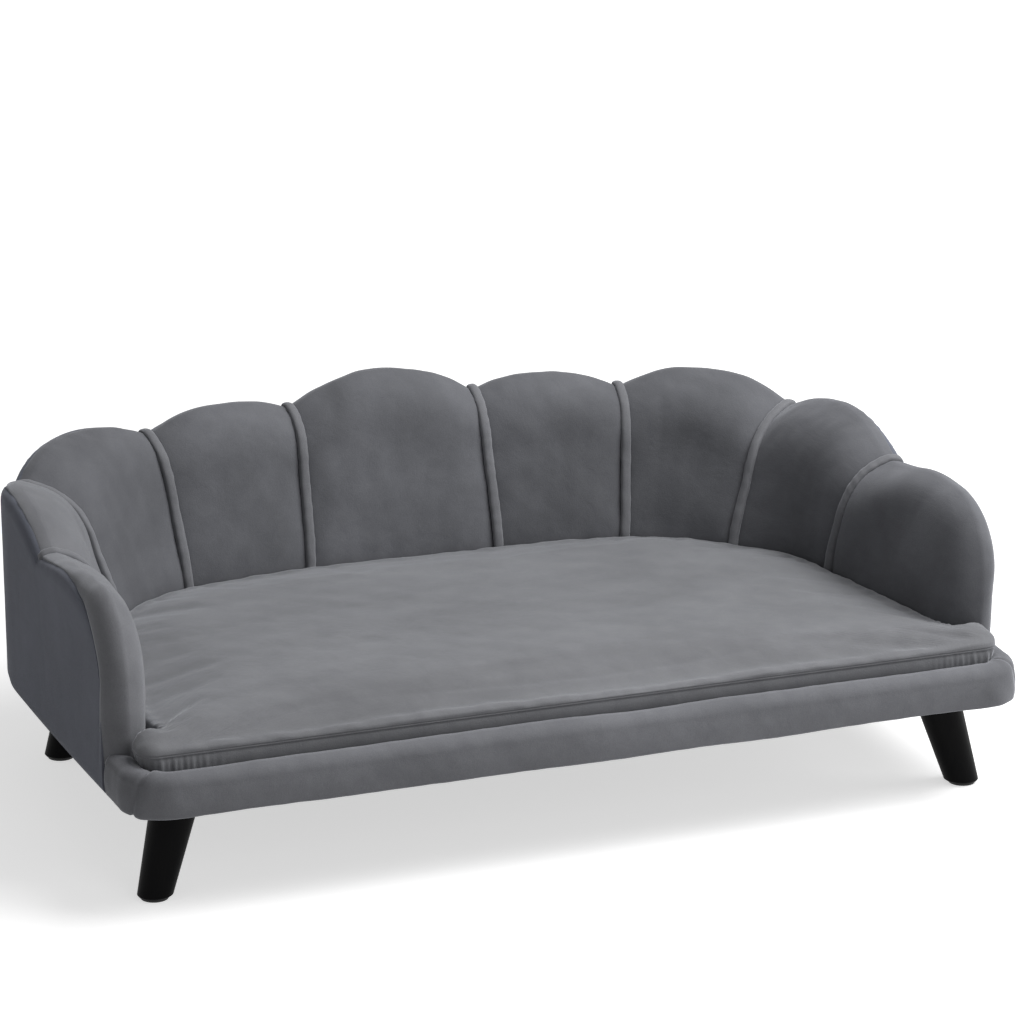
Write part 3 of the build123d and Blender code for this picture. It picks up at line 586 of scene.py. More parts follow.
def bump(tree, height, strength, distance, **below):
    inputs = {"Height": height, "Strength": strength, "Distance": distance, **below}
    return add_node(tree, "Bump", inputs).outputs["Normal"]


def tint(colour, factor):
    return tuple(min(1, c * factor) for c in colour)


def velvet(name, colour, brush, sheen=0.55, stretch=(1, 1, 1)):
    """Short pile velvet: brushed patches, fine pile grain and a soft sheen."""
    mat, tree, bsdf = new_material(name)
    coord = object_coords(tree)
    streak_stretch = (stretch[0], stretch[1] * 0.35, stretch[2])
    patch = noise(tree, coord, scale=7.0, detail=3, rough=0.5, distortion=0.6, stretch=stretch)
    streak = noise(tree, coord, scale=46.0, detail=4, rough=0.6, distortion=0.3, stretch=streak_stretch)
    pile = noise(tree, coord, scale=900.0, detail=2, rough=0.6)
    base = ramp(tree, patch, (0.34, tint(colour, 1 - brush)), (0.50, colour), (0.68, tint(colour, 1 + brush)))
    streaks = ramp(tree, streak, (0.30, (0.86, 0.86, 0.87)), (0.70, 1.0))
    grain = ramp(tree, pile, (0.25, 0.82), (0.75, 1.0))
    pile_bump = bump(tree, pile, strength=0.35, distance=0.0006)
    fill(tree, bsdf, {
        "Base Color": multiply(tree, multiply(tree, base, streaks), grain),
        "Roughness": between(tree, streak, 0.78, 0.95),
        "Sheen Weight": sheen,
        "Sheen Roughness": 0.38,
        "Sheen Tint": (0.86, 0.88, 0.94, 1),
        "Specular IOR Level": 0.25,
        "Normal": bump(tree, streak, strength=0.25, distance=0.003, Normal=pile_bump),
    })
    return mat


def grained(name, low, high, scale, stretch, rough, strength=0.3, distance=0.0006, metal=0.0, gloss=0.5):
    """Wood, metal, thread or plastic with a stretched grain."""
    mat, tree, bsdf = new_material(name)
    coord = object_coords(tree)
    grain = noise(tree, coord, scale=scale, detail=5, rough=0.6, distortion=0.4, stretch=stretch)
    fine = noise(tree, coord, scale=scale * 9, detail=2, rough=0.5, stretch=stretch)
    base = ramp(tree, grain, (0.30, low), (0.70, high))
    fill(tree, bsdf, {
        "Base Color": multiply(tree, base, ramp(tree, fine, (0.3, 0.88), (0.7, 1.0))),
        "Roughness": between(tree, grain, *rough),
        "Metallic": metal,
        "Specular IOR Level": gloss,
        "Normal": bump(tree, fine, strength, distance),
    })
    return mat


def thin_cloth(name, colour, scale):
    """Plain thin cloth with a woven or spun-bonded dimple pattern."""
    mat, tree, bsdf = new_material(name)
    coord = object_coords(tree)
    dots = add_node(tree, "TexVoronoi", {"Vector": coord, "Scale": scale}).outputs["Distance"]
    blotch = noise(tree, coord, scale=30.0)
    fill(tree, bsdf, {
        "Base Color": ramp(tree, blotch, (0.3, tint(colour, 0.8)), (0.7, tint(colour, 1.2))),
        "Roughness": 0.9,
        "Sheen Weight": 0.1,
        "Normal": bump(tree, dots, strength=0.4, distance=0.0004),
    })
    return mat


# Copies of one velvet with a different lightness and tint on each part, which paint light and shade: lighter
# on the left arm channels, the piping, the seat and the roll, darker on the other channels, and bluer on the
# shaded outside; each copy is also brushed a little differently
panel_velvet = velvet("panel_velvet", (0.134, 0.137, 0.149), brush=0.18, sheen=0.40)
outer_velvet = velvet("outer_velvet", (0.132, 0.141, 0.172), brush=0.08, sheen=0.22)
left_painted_light_velvet = velvet("left_painted_light_velvet", (0.186, 0.189, 0.202), brush=0.12)
seat_velvet = velvet("seat_velvet", (0.174, 0.177, 0.187), brush=0.10, sheen=0.6, stretch=(1, 1.8, 1))
bead_velvet = velvet("bead_velvet", (0.185, 0.188, 0.200), brush=0.14)
roll_velvet = velvet("roll_velvet", (0.163, 0.166, 0.179), brush=0.13)
nonwoven = thin_cloth("nonwoven", (0.020, 0.020, 0.021), scale=900.0)
lining = thin_cloth("lining", (0.055, 0.056, 0.062), scale=1300.0)
zip_cloth = thin_cloth("zip_cloth", (0.040, 0.041, 0.046), scale=1500.0)
# Dark thread of the seam stitches: its darkness is partly the real stitching and partly painted shade of the
# groove beside each piping
thread = grained("thread", (0.030, 0.031, 0.036), (0.060, 0.062, 0.070), scale=600, stretch=(1, 1, 1),
                 rough=(0.7, 0.9))

# Wood, metal and plastic
black_lacquer = grained("black_lacquer", (0.0020, 0.0020, 0.0024), (0.0044, 0.0042, 0.0044), scale=14,
                        stretch=(9, 9, 1), rough=(0.40, 0.52), strength=0.25, gloss=0.05)
raw_pine = grained("raw_pine", (0.52, 0.36, 0.20), (0.74, 0.56, 0.34), scale=12, stretch=(1, 12, 12),
                   rough=(0.6, 0.8))
raw_ply = grained("raw_ply", (0.50, 0.36, 0.21), (0.70, 0.54, 0.34), scale=9, stretch=(14, 1, 4),
                  rough=(0.6, 0.8))
zinc = grained("zinc", (0.46, 0.47, 0.48), (0.60, 0.61, 0.62), scale=70, stretch=(1, 1, 4),
               rough=(0.28, 0.42), strength=0.15, distance=0.0003, metal=1.0)
zip_metal = grained("zip_metal", (0.30, 0.30, 0.31), (0.40, 0.40, 0.41), scale=150, stretch=(1, 1, 1),
                    rough=(0.30, 0.45), strength=0.15, distance=0.0002, metal=1.0)
black_plastic = grained("black_plastic", (0.012, 0.012, 0.012), (0.022, 0.022, 0.022), scale=200,
                        stretch=(1, 1, 1), rough=(0.5, 0.65))

LEG_PLACES = ("front_left", "front_right", "rear_left", "rear_right")
node_looks = {
    black_lacquer: [f"{place}_leg" for place in LEG_PLACES],
    black_plastic: [f"{place}_glide" for place in LEG_PLACES],
    zinc: ("leg_plates", "leg_bolts", "leg_plate_screws", "deck_screws", "shell_bolts", "shell_inserts"),
    raw_pine: ("front_rail", "rear_rail", "left_side_rail", "right_side_rail", "left_cross_rail",
               "right_cross_rail", "corner_blocks", "shell_base_plate"),
    raw_ply: ("deck_panel", "shell_board"),
    zip_cloth: ("zip_tape",),
    zip_metal: ("zip_slider",),
}


def dress(obj, material):
    if not obj.material_slots:
        obj.data.materials.append(material)
    for slot in obj.material_slots:
        slot.link = "OBJECT"
        slot.material = material


for look, names in node_looks.items():
    for name in names:
        dress(nodes[name], look)


# Padded channels
def channel_relief(number):
    """Soft waves of the padding and small wrinkles, for one channel."""
    def amount(co, no):
        soft = waves(co, 11 + number, 9.0) * 0.0011
        small = waves(co * np.array([1, 1, 0.45]), 31 + number, 34.0) * 0.00035
        return soft + small
    return amount


def make_channel(number, points):
    verts, faces = tube_grid(points)
    # Channels 1 and 2, the left arm and its neighbour, take the lighter copy as painted light; the other
    # channels take the panel copy
    material = left_painted_light_velvet if number < 3 else panel_velvet
    obj = make_object(f"padded_channel_{number}", verts, faces, material)
    displace(obj, channel_relief(number))
    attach(obj, "bed")
    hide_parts(f"channel_cover_{number}", f"channel_foam_{number}")


joint_lines = []
for panel in range(ARM_PANEL + 1):
    points = channel_points(panel)
    joint_lines.append(points[:, 0])
    make_channel(CENTRE_CHANNEL + panel, points)
    if panel > 0:
        make_channel(CENTRE_CHANNEL - panel, mirrored(points))


# Piping
def bead_path(index, count=90):
    """Middle line of the piping over one seam, the direction along the wall, and up."""
    foot_run = np.array([FOOT_SHARES[index] * SEAT_RUN])
    crest_run = np.array([CREST_SHARES[index] * WALL_RUN])
    frames = sections(foot_run, crest_at(crest_run, np.array([CUSPS[index]])))
    outer, across, up, thick, height = (values[0] for values in frames)
    pad = pad_size(FOOT_SHARES[index])
    loop = profile_loop(thick, height, BEAD_FULL_SHARE, JOINT, pad)[:sum(LOOP_COUNTS)]
    runs = path_runs(loop)
    loop = along(loop, runs, np.linspace(0, runs[-1], count))
    loop = np.concatenate([loop[0] + np.array(BEAD_TUCK), loop])
    return place_loop(loop, outer, across, up), np.cross(across, up), up


def path_outward(path, side):
    """Directions square to a path and to the side that stays across it."""
    return unit(np.cross(np.broadcast_to(side, path.shape), unit(np.gradient(path, axis=0))))


def sweep_ring(path, side, radii, ring=18):
    """Closed, slightly squared rings along a path."""
    turn = np.linspace(0, 2 * math.pi, ring, endpoint=False)
    sideways, outwards = (np.sign(w) * np.abs(w) ** BEAD_SQUARENESS * radius
                          for w, radius in zip((np.cos(turn), np.sin(turn)), radii))
    outward = path_outward(path, side)
    return path[:, None, :] + side * sideways[None, :, None] + outward[:, None, :] * outwards[None, :, None]


def stitches(path, side, ring=6):
    """A row of short thread stitches along a path, as one mesh of closed capsules."""
    runs = path_runs(path)
    outward = path_outward(path, side)
    turn = np.linspace(0, 2 * math.pi, ring, endpoint=False)
    taper = np.array(STITCH_TAPER)
    reach = STITCH_SHARE * np.linspace(-0.5, 0.5, len(taper))
    radius = (STITCH_RADIUS * taper)[:, None, None]
    verts, faces = [], []
    for k in range(int(runs[-1] / STITCH_PITCH)):
        places = STITCH_PITCH * (k + 0.5 + reach)
        out = along(outward, runs, places)
        middle = along(path, runs, places) + out * ((taper - 1) * STITCH_SINK)[:, None]
        around = side * np.cos(turn)[:, None] + out[:, None, :] * np.sin(turn)[:, None]
        capsule, capsule_faces = tube_grid(middle[:, None, :] + around * radius)
        first = k * len(capsule)
        verts.append(capsule)
        faces += [[i + first for i in face] for face in capsule_faces]
    return np.concatenate(verts), faces


def make_piping(number, rings, stitch_verts, stitch_faces):
    verts, faces = tube_grid(rings)
    obj = make_object(f"seam_piping_{number}", verts, faces, bead_velvet)
    displace(obj, lambda co, no: waves(co, 71 + number, 60.0) * 0.0003)
    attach(obj, "bed")
    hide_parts(f"piping_{number}")
    row = make_object(f"seam_stitches_{number}", stitch_verts, stitch_faces, thread)
    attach(row, "bed")


for index in range(len(CUSPS)):
    path, side, up = bead_path(index)
    rings = sweep_ring(path, side, BEAD_RADII)
    outward = path_outward(path, side)
    outward *= 1 if outward[0] @ up >= 0 else -1
    # The stitch row on the arm side of each seam is partly real stitching and partly painted shade in the
    # groove there
    stitch_verts, stitch_faces = stitches(path - side * STITCH_SIDE + outward * STITCH_OUT, side)
    make_piping(CENTRE_CHANNEL + index, rings, stitch_verts, stitch_faces)
    make_piping(CENTRE_CHANNEL - 1 - index, mirrored(rings), mirrored(stitch_verts), stitch_faces)


# Outer cover of the wall
def joint_curve():
    """Where the channels start on the right half: run, height and inset from the outer wall."""
    centre_line = joint_lines[0]
    line = np.concatenate([centre_line[len(centre_line) // 2:]] + joint_lines[1:])
    run = wall.run_at(line)
    foot, _ = wall.locate(run)
    return run, line[:, 2], np.linalg.norm(line[:, :2] - foot, axis=1)


def nearest_joint(points, curve):
    """Number and distance of the curve's point that is nearest to each point."""
    block = 2000
    near = np.empty(len(points), int)
    distance = np.empty(len(points))
    for i in range(0, len(points), block):
        gap = np.sqrt(((points[i:i + block, None, :] - curve[None, :, :]) ** 2).sum(-1))
        near[i:i + block] = gap.argmin(1)
        distance[i:i + block] = gap.min(1)
    return near, distance


def quarter_round(share):
    """Inset share of a rounded edge, from 0 where it starts to 1 at the edge."""
    return 1 - np.sqrt(1 - share ** 2)


def outer_cover_loops(rows=46):
    """Closed loops over the whole outside: outer face, rolled edge, hidden lip and back face."""
    joint_run, joint_height, joint_inset = joint_curve()
    run_end = float(joint_run.max())
    coarse = np.linspace(0, run_end - END_RUN, 150, endpoint=False)
    fine = run_end - END_RUN * (1 - np.linspace(0, 1, 60)) ** 1.6
    run = np.concatenate([coarse, fine])
    rising = np.maximum.accumulate(joint_run) + np.arange(len(joint_run)) * 1e-9
    top = np.interp(run, rising, joint_height) + EDGE_LIFT
    top_inset = np.interp(run, rising, joint_inset)
    even = np.linspace(0, 1, rows)
    level = 0.5 * even + 0.5 * (1 - (1 - even) ** 2.2)
    low = SLAB_BOTTOM + 0.0005
    height = low + (top[:, None] - low) * level
    flat = np.column_stack([np.repeat(run, rows), height.ravel()])
    near, distance = nearest_joint(flat, np.column_stack([joint_run, joint_height]))
    edge = np.clip(1 - distance / EDGE_ROLL, 0, 1)
    bottom = np.clip(1 - (flat[:, 1] - SLAB_BOTTOM) / FOOT_ROLL, 0, 1)
    inset = joint_inset[near] * quarter_round(edge) + FOOT_INSET * quarter_round(bottom)
    inset = inset.reshape(height.shape)
    inset[:, -1] = np.maximum(inset[:, -1], top_inset)

    lip_inset = top_inset[:, None] + np.array(LIP_INSETS)
    lip_height = top[:, None] - np.array(LIP_DROPS)
    inset = np.hstack([inset, lip_inset, inset[:, ::-1] + COVER_THICKNESS])
    height = np.hstack([height, lip_height, np.minimum(height[:, ::-1], lip_height[:, -1:])])
    run = np.append(run, [run_end + END_STEP] * len(END_INSETS))
    inset = np.vstack([inset, inset[-1] + np.array(END_INSETS)[:, None]])
    height = np.vstack([height] + [height[-1]] * len(END_INSETS))
    points, out = wall.locate(np.repeat(run, inset.shape[1]))
    plan = points - out * inset.reshape(-1, 1)
    right = np.column_stack([plan, height.ravel()]).reshape(len(run), -1, 3)
    return np.concatenate([mirrored(right[:0:-1]), right])


def outer_relief(co, no):
    """Slight looseness of the outside, none on its edges."""
    side = np.abs(no[:, 2]) < 0.8
    stretched = co * np.array([1, 1, 0.6])
    soft = waves(stretched, 5, 4.0) * 0.00064
    fine = waves(stretched, 6, 22.0) * 0.00008
    return (soft + fine) * side


verts, faces = tube_grid(outer_cover_loops())
outer = make_object("outer_cover_cloth", verts, faces, outer_velvet)
displace(outer, outer_relief)
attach(outer, "bed")
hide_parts("outer_cover", "outer_wadding")


# Padded roll along the front
def roll_line():
    """Outer line of the roll from left to right, its directions, and its corner's x."""
    ahead = np.linspace(ROLL_END, SLAB_CORNER, 26, endpoint=False)
    side, side_out = wall.locate(wall.run_to(ahead))
    edge, _ = wall.locate(wall.run_to(np.array([SLAB_CORNER])))
    corner_x = edge[0, 0] - SLAB_CORNER
    corner = arc((corner_x, FRONT + SLAB_CORNER), SLAB_CORNER, 0, -90, 34, endpoint=False)
    corner_out = arc((0, 0), 1, 0, -90, 34, endpoint=False)
    front_x = np.linspace(corner_x, 0, 110)
    front = np.column_stack([front_x, np.full(len(front_x), FRONT)])
    front_out = np.tile([0.0, -1.0], (len(front_x), 1))
    line = np.concatenate([side, corner, front])
    out = np.concatenate([side_out, corner_out, front_out])
    left, left_out = (rows[:-1] * [-1, 1] for rows in (line, out))
    return np.concatenate([left, line[::-1]]), np.concatenate([left_out, out[::-1]]), corner_x


def roll_section():
    """Closed section of the roll as (inset, height): foot, front, top edge, inner face."""
    foot = math.pi / 2 * np.linspace(0, 1, 5)
    edge = math.pi / 2 * np.linspace(0, 1, 14)
    inner = math.pi / 2 * np.linspace(0.15, 1, 9)
    front = np.linspace(0.1, 0.9, 12)
    front_low = SLAB_BOTTOM + ROLL_FOOT
    front_high = SLAB_TOP - ROLL_EDGE
    parts = (
        (ROLL_FOOT - ROLL_FOOT * np.sin(foot), front_low - ROLL_FOOT * np.cos(foot)),
        (-ROLL_BULGE * np.sin(math.pi * front), front_low + (front_high - front_low) * front),
        (ROLL_EDGE - ROLL_EDGE * np.cos(edge), front_high + ROLL_EDGE_RISE * np.sin(edge)),
        (ROLL_INNER_START + ROLL_EDGE * np.sin(inner),
         SLAB_TOP - ROLL_INNER_DROP + ROLL_INNER_RISE * np.cos(inner)),
        ((ROLL_BACK, ROLL_BACK, ROLL_BACK / 2),
         (DECK_TOP + 0.0015, SLAB_BOTTOM + 0.001, SLAB_BOTTOM - 0.0003)),
    )
    return np.concatenate([np.column_stack(part) for part in parts])


line, line_out, roll_corner_x = roll_line()
section = roll_section()
rings = np.zeros((len(line), len(section), 3))
rings[..., :2] = line[:, None, :] - line_out[:, None, :] * section[:, :1]
rings[..., 2] = section[:, 1]
runs = path_runs(line)
mitre_x = roll_corner_x + SLAB_CORNER * math.sin(MITRE_TURN)
mitre_y = FRONT + SLAB_CORNER * (1 - math.cos(MITRE_TURN))
left_mitre = float(runs[np.argmin(np.hypot(line[:, 0] + mitre_x, line[:, 1] - mitre_y))])
right_mitre = runs[-1] - left_mitre
roll_runs = np.repeat(runs, len(section))
roll_outside = np.tile(section[:, 0] < ROLL_INSIDE, len(line))


def roll_relief(co, no):
    """Mitre seams at both corners and slight looseness, on the outside of the roll only."""
    groove = np.zeros(len(co))
    lean = (co[:, 2] - SLAB_BOTTOM) * MITRE_LEAN
    for place, hand in ((left_mitre, 1), (right_mitre, -1)):
        past = roll_runs - place - hand * lean
        groove -= 0.0022 * hump(past, 0.0, 0.0030)
        groove += 0.0010 * hump(past, hand * 0.010, 0.008)
    soft = waves(co * np.array([1, 1, 0.5]), 21, 8.0) * 0.0009
    fine = waves(co, 22, 40.0) * 0.0002
    return (groove + soft + fine) * roll_outside


verts, faces = tube_grid(rings)
roll = make_object("front_roll", verts, faces, roll_velvet)
displace(roll, roll_relief)
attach(roll, "bed")
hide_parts("front_edge_cover", "front_edge_foam")


# Plan of the seat cushion
def edge_height(y):
    """Height of the cushion's sewn edge, which falls towards the back."""
    return DECK_TOP + CUSHION_RISE - CUSHION_FALL * (y - FRONT - ROLL_WIDTH) / CUSHION_DEPTH


def cushion_line(step=0.0050):
    """Closed plan of the cushion, anticlockwise from the middle of the front."""
    near = FRONT + ROLL_WIDTH + FRONT_GAP
    wall_edge, _ = wall.locate(wall.run_to(np.array([ARM_FRONT / 2])))
    ear_x = wall_edge[0, 0] - ROLL_WIDTH + EAR_REACH
    ear_y = FRONT + ARM_FRONT - EAR_GAP
    seat_edge, _ = seat.locate(seat.run_to(np.array([ARM_FRONT + NOTCH])))
    side_x = seat_edge[0, 0] - SIDE_GAP
    seat_run = np.linspace(float(seat.run_to(ARM_FRONT + 2 * NOTCH + 0.01)), 0, 160)
    side, side_out = seat.locate(seat_run)
    gap = SIDE_GAP + pad_size(seat_run / SEAT_RUN)[2]
    half = np.concatenate([
        np.array([[0, near], [ear_x - EAR_CORNER, near]]),
        arc((ear_x - EAR_CORNER, near + EAR_CORNER), EAR_CORNER, -90, 0, 16),
        arc((ear_x - EAR_BACK_CORNER, ear_y - EAR_BACK_CORNER), EAR_BACK_CORNER, 0, 90, 12),
        arc((side_x + NOTCH, ear_y + NOTCH), NOTCH, -90, -180, 10),
        side - side_out * gap[:, None],
    ])
    half = half[half[:, 0] >= -1e-9]
    full = np.concatenate([half, (half * [-1, 1])[::-1]])
    runs = path_runs(full)
    keep = np.concatenate([[True], np.diff(runs) > 1e-7])
    return ear_spaced(full[keep], runs[keep], step)


def ear_spaced(full, runs, step):
    """The plan with evenly spaced points, closer together round the ears."""
    fine = np.linspace(0, runs[-1], 6000)
    x, y = along(full, runs, fine).T
    weight = 1 + 2.2 * smooth(np.abs(x), 0.36, 0.40) * smooth(FRONT + 0.10 - y, 0.0, 0.02)
    total = np.concatenate([[0], np.cumsum(0.5 * (weight[1:] + weight[:-1]) * np.diff(fine))])
    count = int(total[-1] / step)
    places = np.interp(np.linspace(0, total[-1], count, endpoint=False), total, fine)
    return settle_loop(along(full, runs, places), 3)


def line_distance(points, loop):
    """Distance of plan points to a closed line."""
    block = 1500
    step = np.roll(loop, -1, 0) - loop
    best = np.empty(len(points))
    for i in range(0, len(points), block):
        rows = points[i:i + block, None, :]
        share = np.clip(((rows - loop) * step).sum(-1) / (step ** 2).sum(-1), 0, 1)
        near = loop + step * share[..., None]
        best[i:i + block] = np.sqrt(((rows - near) ** 2).sum(-1)).min(1)
    return best


outline = cushion_line()
outline_step = unit(np.roll(outline, -1, 0) - np.roll(outline, 1, 0))
outline_out = np.column_stack([outline_step[:, 1], -outline_step[:, 0]])
seam_z = edge_height(outline[:, 1])


# Skin of the seat cushion
def corner_gathers():
    """Small uneven folds round the boxing, at the front corners only."""
    x, y = outline.T
    runs = path_runs(outline)
    folds = np.sin(runs / GATHER_PITCH * 2 * math.pi + 2.6 * np.sin(runs * 61)) + 0.8 * np.sin(runs * 411)
    return folds * hump(np.abs(x), 0.440, 0.040) * hump(y, FRONT + 0.025, 0.040)


def ear_sides():
    """1 at the outer sides of the cushion's ears, 0 elsewhere."""
    x, y = outline.T
    ear = smooth(np.abs(x), 0.425, 0.455) * smooth(FRONT + ARM_FRONT + 0.004 - y, 0.0, 0.010)
    return ear * np.abs(outline_out[:, 0])


def side_ring(inset, z, level=1.0):
    """One ring of the boxing; the ears lean out over the roll as they rise."""
    lean = ear_sides() * (EAR_REACH + EAR_GAP) * (1 - level) ** 1.3
    plan = outline - outline_out * (inset + lean)[:, None]
    return np.column_stack([plan, np.broadcast_to(z, len(outline))])


def boxing_rings():
    """Rings from the underside up to the sewn seam, which is a shallow groove."""
    height = seam_z - CUSHION_BASE
    gathers = corner_gathers() * GATHER_DEPTH
    rings = [side_ring(0.0120, CUSHION_BASE, 0.0), side_ring(0.0050, CUSHION_BASE + 0.0003, 0.0)]
    for level in np.linspace(0.06, 0.90, 11):
        inset = BOXING_INSET + (gathers - BOXING_BULGE) * math.sin(math.pi * level)
        rings.append(side_ring(inset, CUSHION_BASE + height * level, level))
    for rise, inset in zip(SEAM_RISES, SEAM_INSETS):
        rings.append(side_ring(inset, seam_z + rise))
    return rings


def top_plan_rings():
    """Rings over the top, first close to the edge, then rounder and smaller towards the middle."""
    rings = [side_ring(inset, seam_z) for inset in EDGE_INSETS]
    middle = np.array([0.0, FRONT + CUSHION_MIDDLE])
    start = outline - outline_out * EDGE_INSETS[-1]
    calm = settle_loop(start, 2600)
    for scale in 1 - np.linspace(0.004, 0.93, 74) ** 1.06:
        share = smooth(1 - scale, 0.0, 0.16)
        plan = start * (1 - share) + calm * share
        rings.append(np.column_stack([middle + (plan - middle) * scale, seam_z]))
    return np.array(rings)


def crown(top):
    """Heights of the top: a rounded edge, fuller by the arms, and a low crown."""
    x, y = top[..., 0].ravel(), top[..., 1].ravel()
    distance = line_distance(top[..., :2].reshape(-1, 2), outline)
    edge_points = len(outline) * len(EDGE_INSETS)
    distance[:edge_points] = np.repeat(EDGE_INSETS, len(outline))
    distance = np.maximum(distance - EDGE_INSETS[0], 0)
    by_arm = hump(np.abs(x), 0.452, 0.026) * hump(y, FRONT + 0.072, 0.030)
    by_front = smooth(FRONT + ROLL_WIDTH + 0.060 - y, 0.0, 0.030)
    round_run = WALL_ROUND_RUN + FRONT_ROUND_RUN * by_front * (1 - by_arm)
    round_edge = np.sqrt(1 - (1 - np.clip(distance / round_run, 0, 1)) ** 2)
    rise = CROWN_RISE * (1 - (1 - np.clip(distance / CROWN_RUN, 0, 1)) ** 2.7)
    rise += (EDGE_RISE + ARM_CROWN_RISE * by_arm) * round_edge
    return (edge_height(y) + rise + CROWN_LIFT).reshape(top.shape[:2])


def add_underside(bm, rim):
    """Flat underside within the rim, with a pocket for the zip."""
    x, y = ZIP_POCKET
    pocket = ((-x, -y), (x, -y), (x, y), (-x, y))
    low = [bm.verts.new((px, ZIP_Y + py, CUSHION_BASE)) for px, py in pocket]
    high = [bm.verts.new((px, ZIP_Y + py, CUSHION_BASE + ZIP_DEPTH)) for px, py in pocket]
    edges = [bm.edges.get((rim[i - 1], rim[i])) for i in range(len(rim))]
    edges += [bm.edges.new((low[i - 1], low[i])) for i in range(len(low))]
    bmesh.ops.triangle_fill(bm, edges=edges, use_beauty=True)
    for i in range(len(low)):
        bm.faces.new((low[i - 1], low[i], high[i], high[i - 1]))
    bm.faces.new(high)


def make_cushion():
    top = top_plan_rings()
    top[..., 2] = crown(top)
    grid = np.concatenate([np.array(boxing_rings()), top])
    idx = np.arange(grid.shape[0] * grid.shape[1]).reshape(grid.shape[:2])
    faces = ring_quads(idx).tolist() + [idx[-1].tolist()]
    mesh = bpy.data.meshes.new("seat_cushion")
    mesh.from_pydata([tuple(v) for v in grid.reshape(-1, 3)], [], faces)
    bm = bmesh.new()
    bm.from_mesh(mesh)
    bm.verts.ensure_lookup_table()
    add_underside(bm, [bm.verts[i] for i in idx[0]])
    bmesh.ops.recalc_face_normals(bm, faces=bm.faces)
    bm.to_mesh(mesh)
    bm.free()
    mesh.polygons.foreach_set("use_smooth", [True] * len(mesh.polygons))
    mesh.materials.append(seat_velvet)
    return link(bpy.data.objects.new("seat_cushion", mesh))


def cushion_relief(co, no):
    """Soft unevenness of the top, with short wrinkles in the front corners and along the seam."""
    up = smooth(no[:, 2], 0.3, 0.8) * (co[:, 2] > DECK_TOP + 0.010)
    flat = co * np.array([1, 1, 0])
    soft = waves(flat, 41, 3.2) * 0.0012
    fine = waves(co * np.array([1, 1.6, 0]), 42, 15.0) * 0.00030
    total = soft + fine
    for hand in (-1, 1):
        x = co[:, 0] * hand
        corner = hump(x, 0.430, 0.026) * hump(co[:, 1], FRONT + 0.094, 0.020)
        across_folds = (co[:, 1] - FRONT) * 0.92 - x * 0.38
        total += corner * 0.0009 * np.sin(across_folds / 0.0115 * 2 * math.pi)
    near_seam = hump(line_distance(co[:, :2], outline), 0.0, 0.018)
    total += near_seam * waves(flat, 43, 42.0) * 0.0006
    return total * up


# Cloth simulation
CLOTH_VALUES = {
    "quality": 5, "mass": 0.3, "tension_stiffness": 15, "compression_stiffness": 15,
    "shear_stiffness": 5, "bending_stiffness": 0.2, "use_pressure": True, "uniform_pressure_force": 4,
    "vertex_group_mass": "held", "vertex_group_shrink": "spare", "shrink_min": 0,
    "shrink_max": -CLOTH_GROWTH,
}


def remeshed_copy(obj):
    copy = obj.copy()
    copy.data = obj.data.copy()
    link(copy)
    remesh = copy.modifiers.new("remesh", "REMESH")
    remesh.mode = "VOXEL"
    remesh.voxel_size = VOXEL
    graph = bpy.context.evaluated_depsgraph_get()
    mesh = bpy.data.meshes.new_from_object(copy.evaluated_get(graph))
    copy.modifiers.clear()
    copy.data = mesh
    return copy


def add_cloth(obj):
    """Soft cloth under pressure, with no gravity, that grows where it has spare width."""
    cloth = obj.modifiers.new("cloth", "CLOTH")
    for name, value in CLOTH_VALUES.items():
        setattr(cloth.settings, name, value)
    cloth.settings.effector_weights.gravity = 0
    cloth.collision_settings.use_collision = False
    cloth.collision_settings.use_self_collision = False
    cloth.point_cache.frame_start = 1
    cloth.point_cache.frame_end = FRAMES


def simulated_movement(obj, held, spare):
    """Cloth simulation on a remeshed copy: where its points start and how far they move."""
    scene = bpy.context.scene
    copy = remeshed_copy(obj)
    begin = coords(copy)
    for name, weights in (("held", held(begin)), ("spare", spare(begin))):
        group = copy.vertex_groups.new(name=name)
        for i, weight in enumerate(weights):
            group.add([i], float(weight), "REPLACE")
    add_cloth(copy)
    for number in range(1, FRAMES + 1):
        scene.frame_set(number)
    result = copy.evaluated_get(bpy.context.evaluated_depsgraph_get())
    end = read_points(result.data.vertices, "co")
    scene.frame_set(1)
    bpy.data.objects.remove(copy)
    return begin, end - begin


def carry(obj, begin, move, share):
    """Move an object's points as the nearest simulated points moved, up to a cap and by a share."""
    size = np.linalg.norm(move, axis=1)
    move = move * np.minimum(1, CLOTH_CAP / np.maximum(size, 1e-9))[:, None]
    tree = kdtree.KDTree(len(begin))
    for i, point in enumerate(begin):
        tree.insert(point, i)
    tree.balance()
    co = coords(obj)
    shares = share(co)
    for i in np.flatnonzero(shares):
        found = tree.find_n(co[i], 4)
        weights = np.array([1 / (distance + 0.0005) for _, _, distance in found])
        mean = (move[[k for _, k, _ in found]] * weights[:, None]).sum(0) / weights.sum()
        co[i] += mean * shares[i]
    set_coords(obj, co)


def cushion_held(co):
    """Boxing and underside are held; the foam holds the top softly."""
    return np.where(co[:, 2] < edge_height(co[:, 1]) + 0.0015, 1.0, CORE_HOLD_SHARE)


def cushion_spare(co):
    """Spare cloth by the front corners, next to the arms."""
    corner = hump(np.abs(co[:, 0]), 0.425, 0.040) * hump(co[:, 1], FRONT + 0.085, 0.050)
    return np.clip(corner + SPARE_SHARE, 0, 1)


def cushion_free(co):
    """None of the movement at the sewn edge, all of it a little further in."""
    free = smooth(line_distance(co[:, :2], outline), 0.0020, 0.0160)
    return free * (co[:, 2] > edge_height(co[:, 1]) + 0.0005)


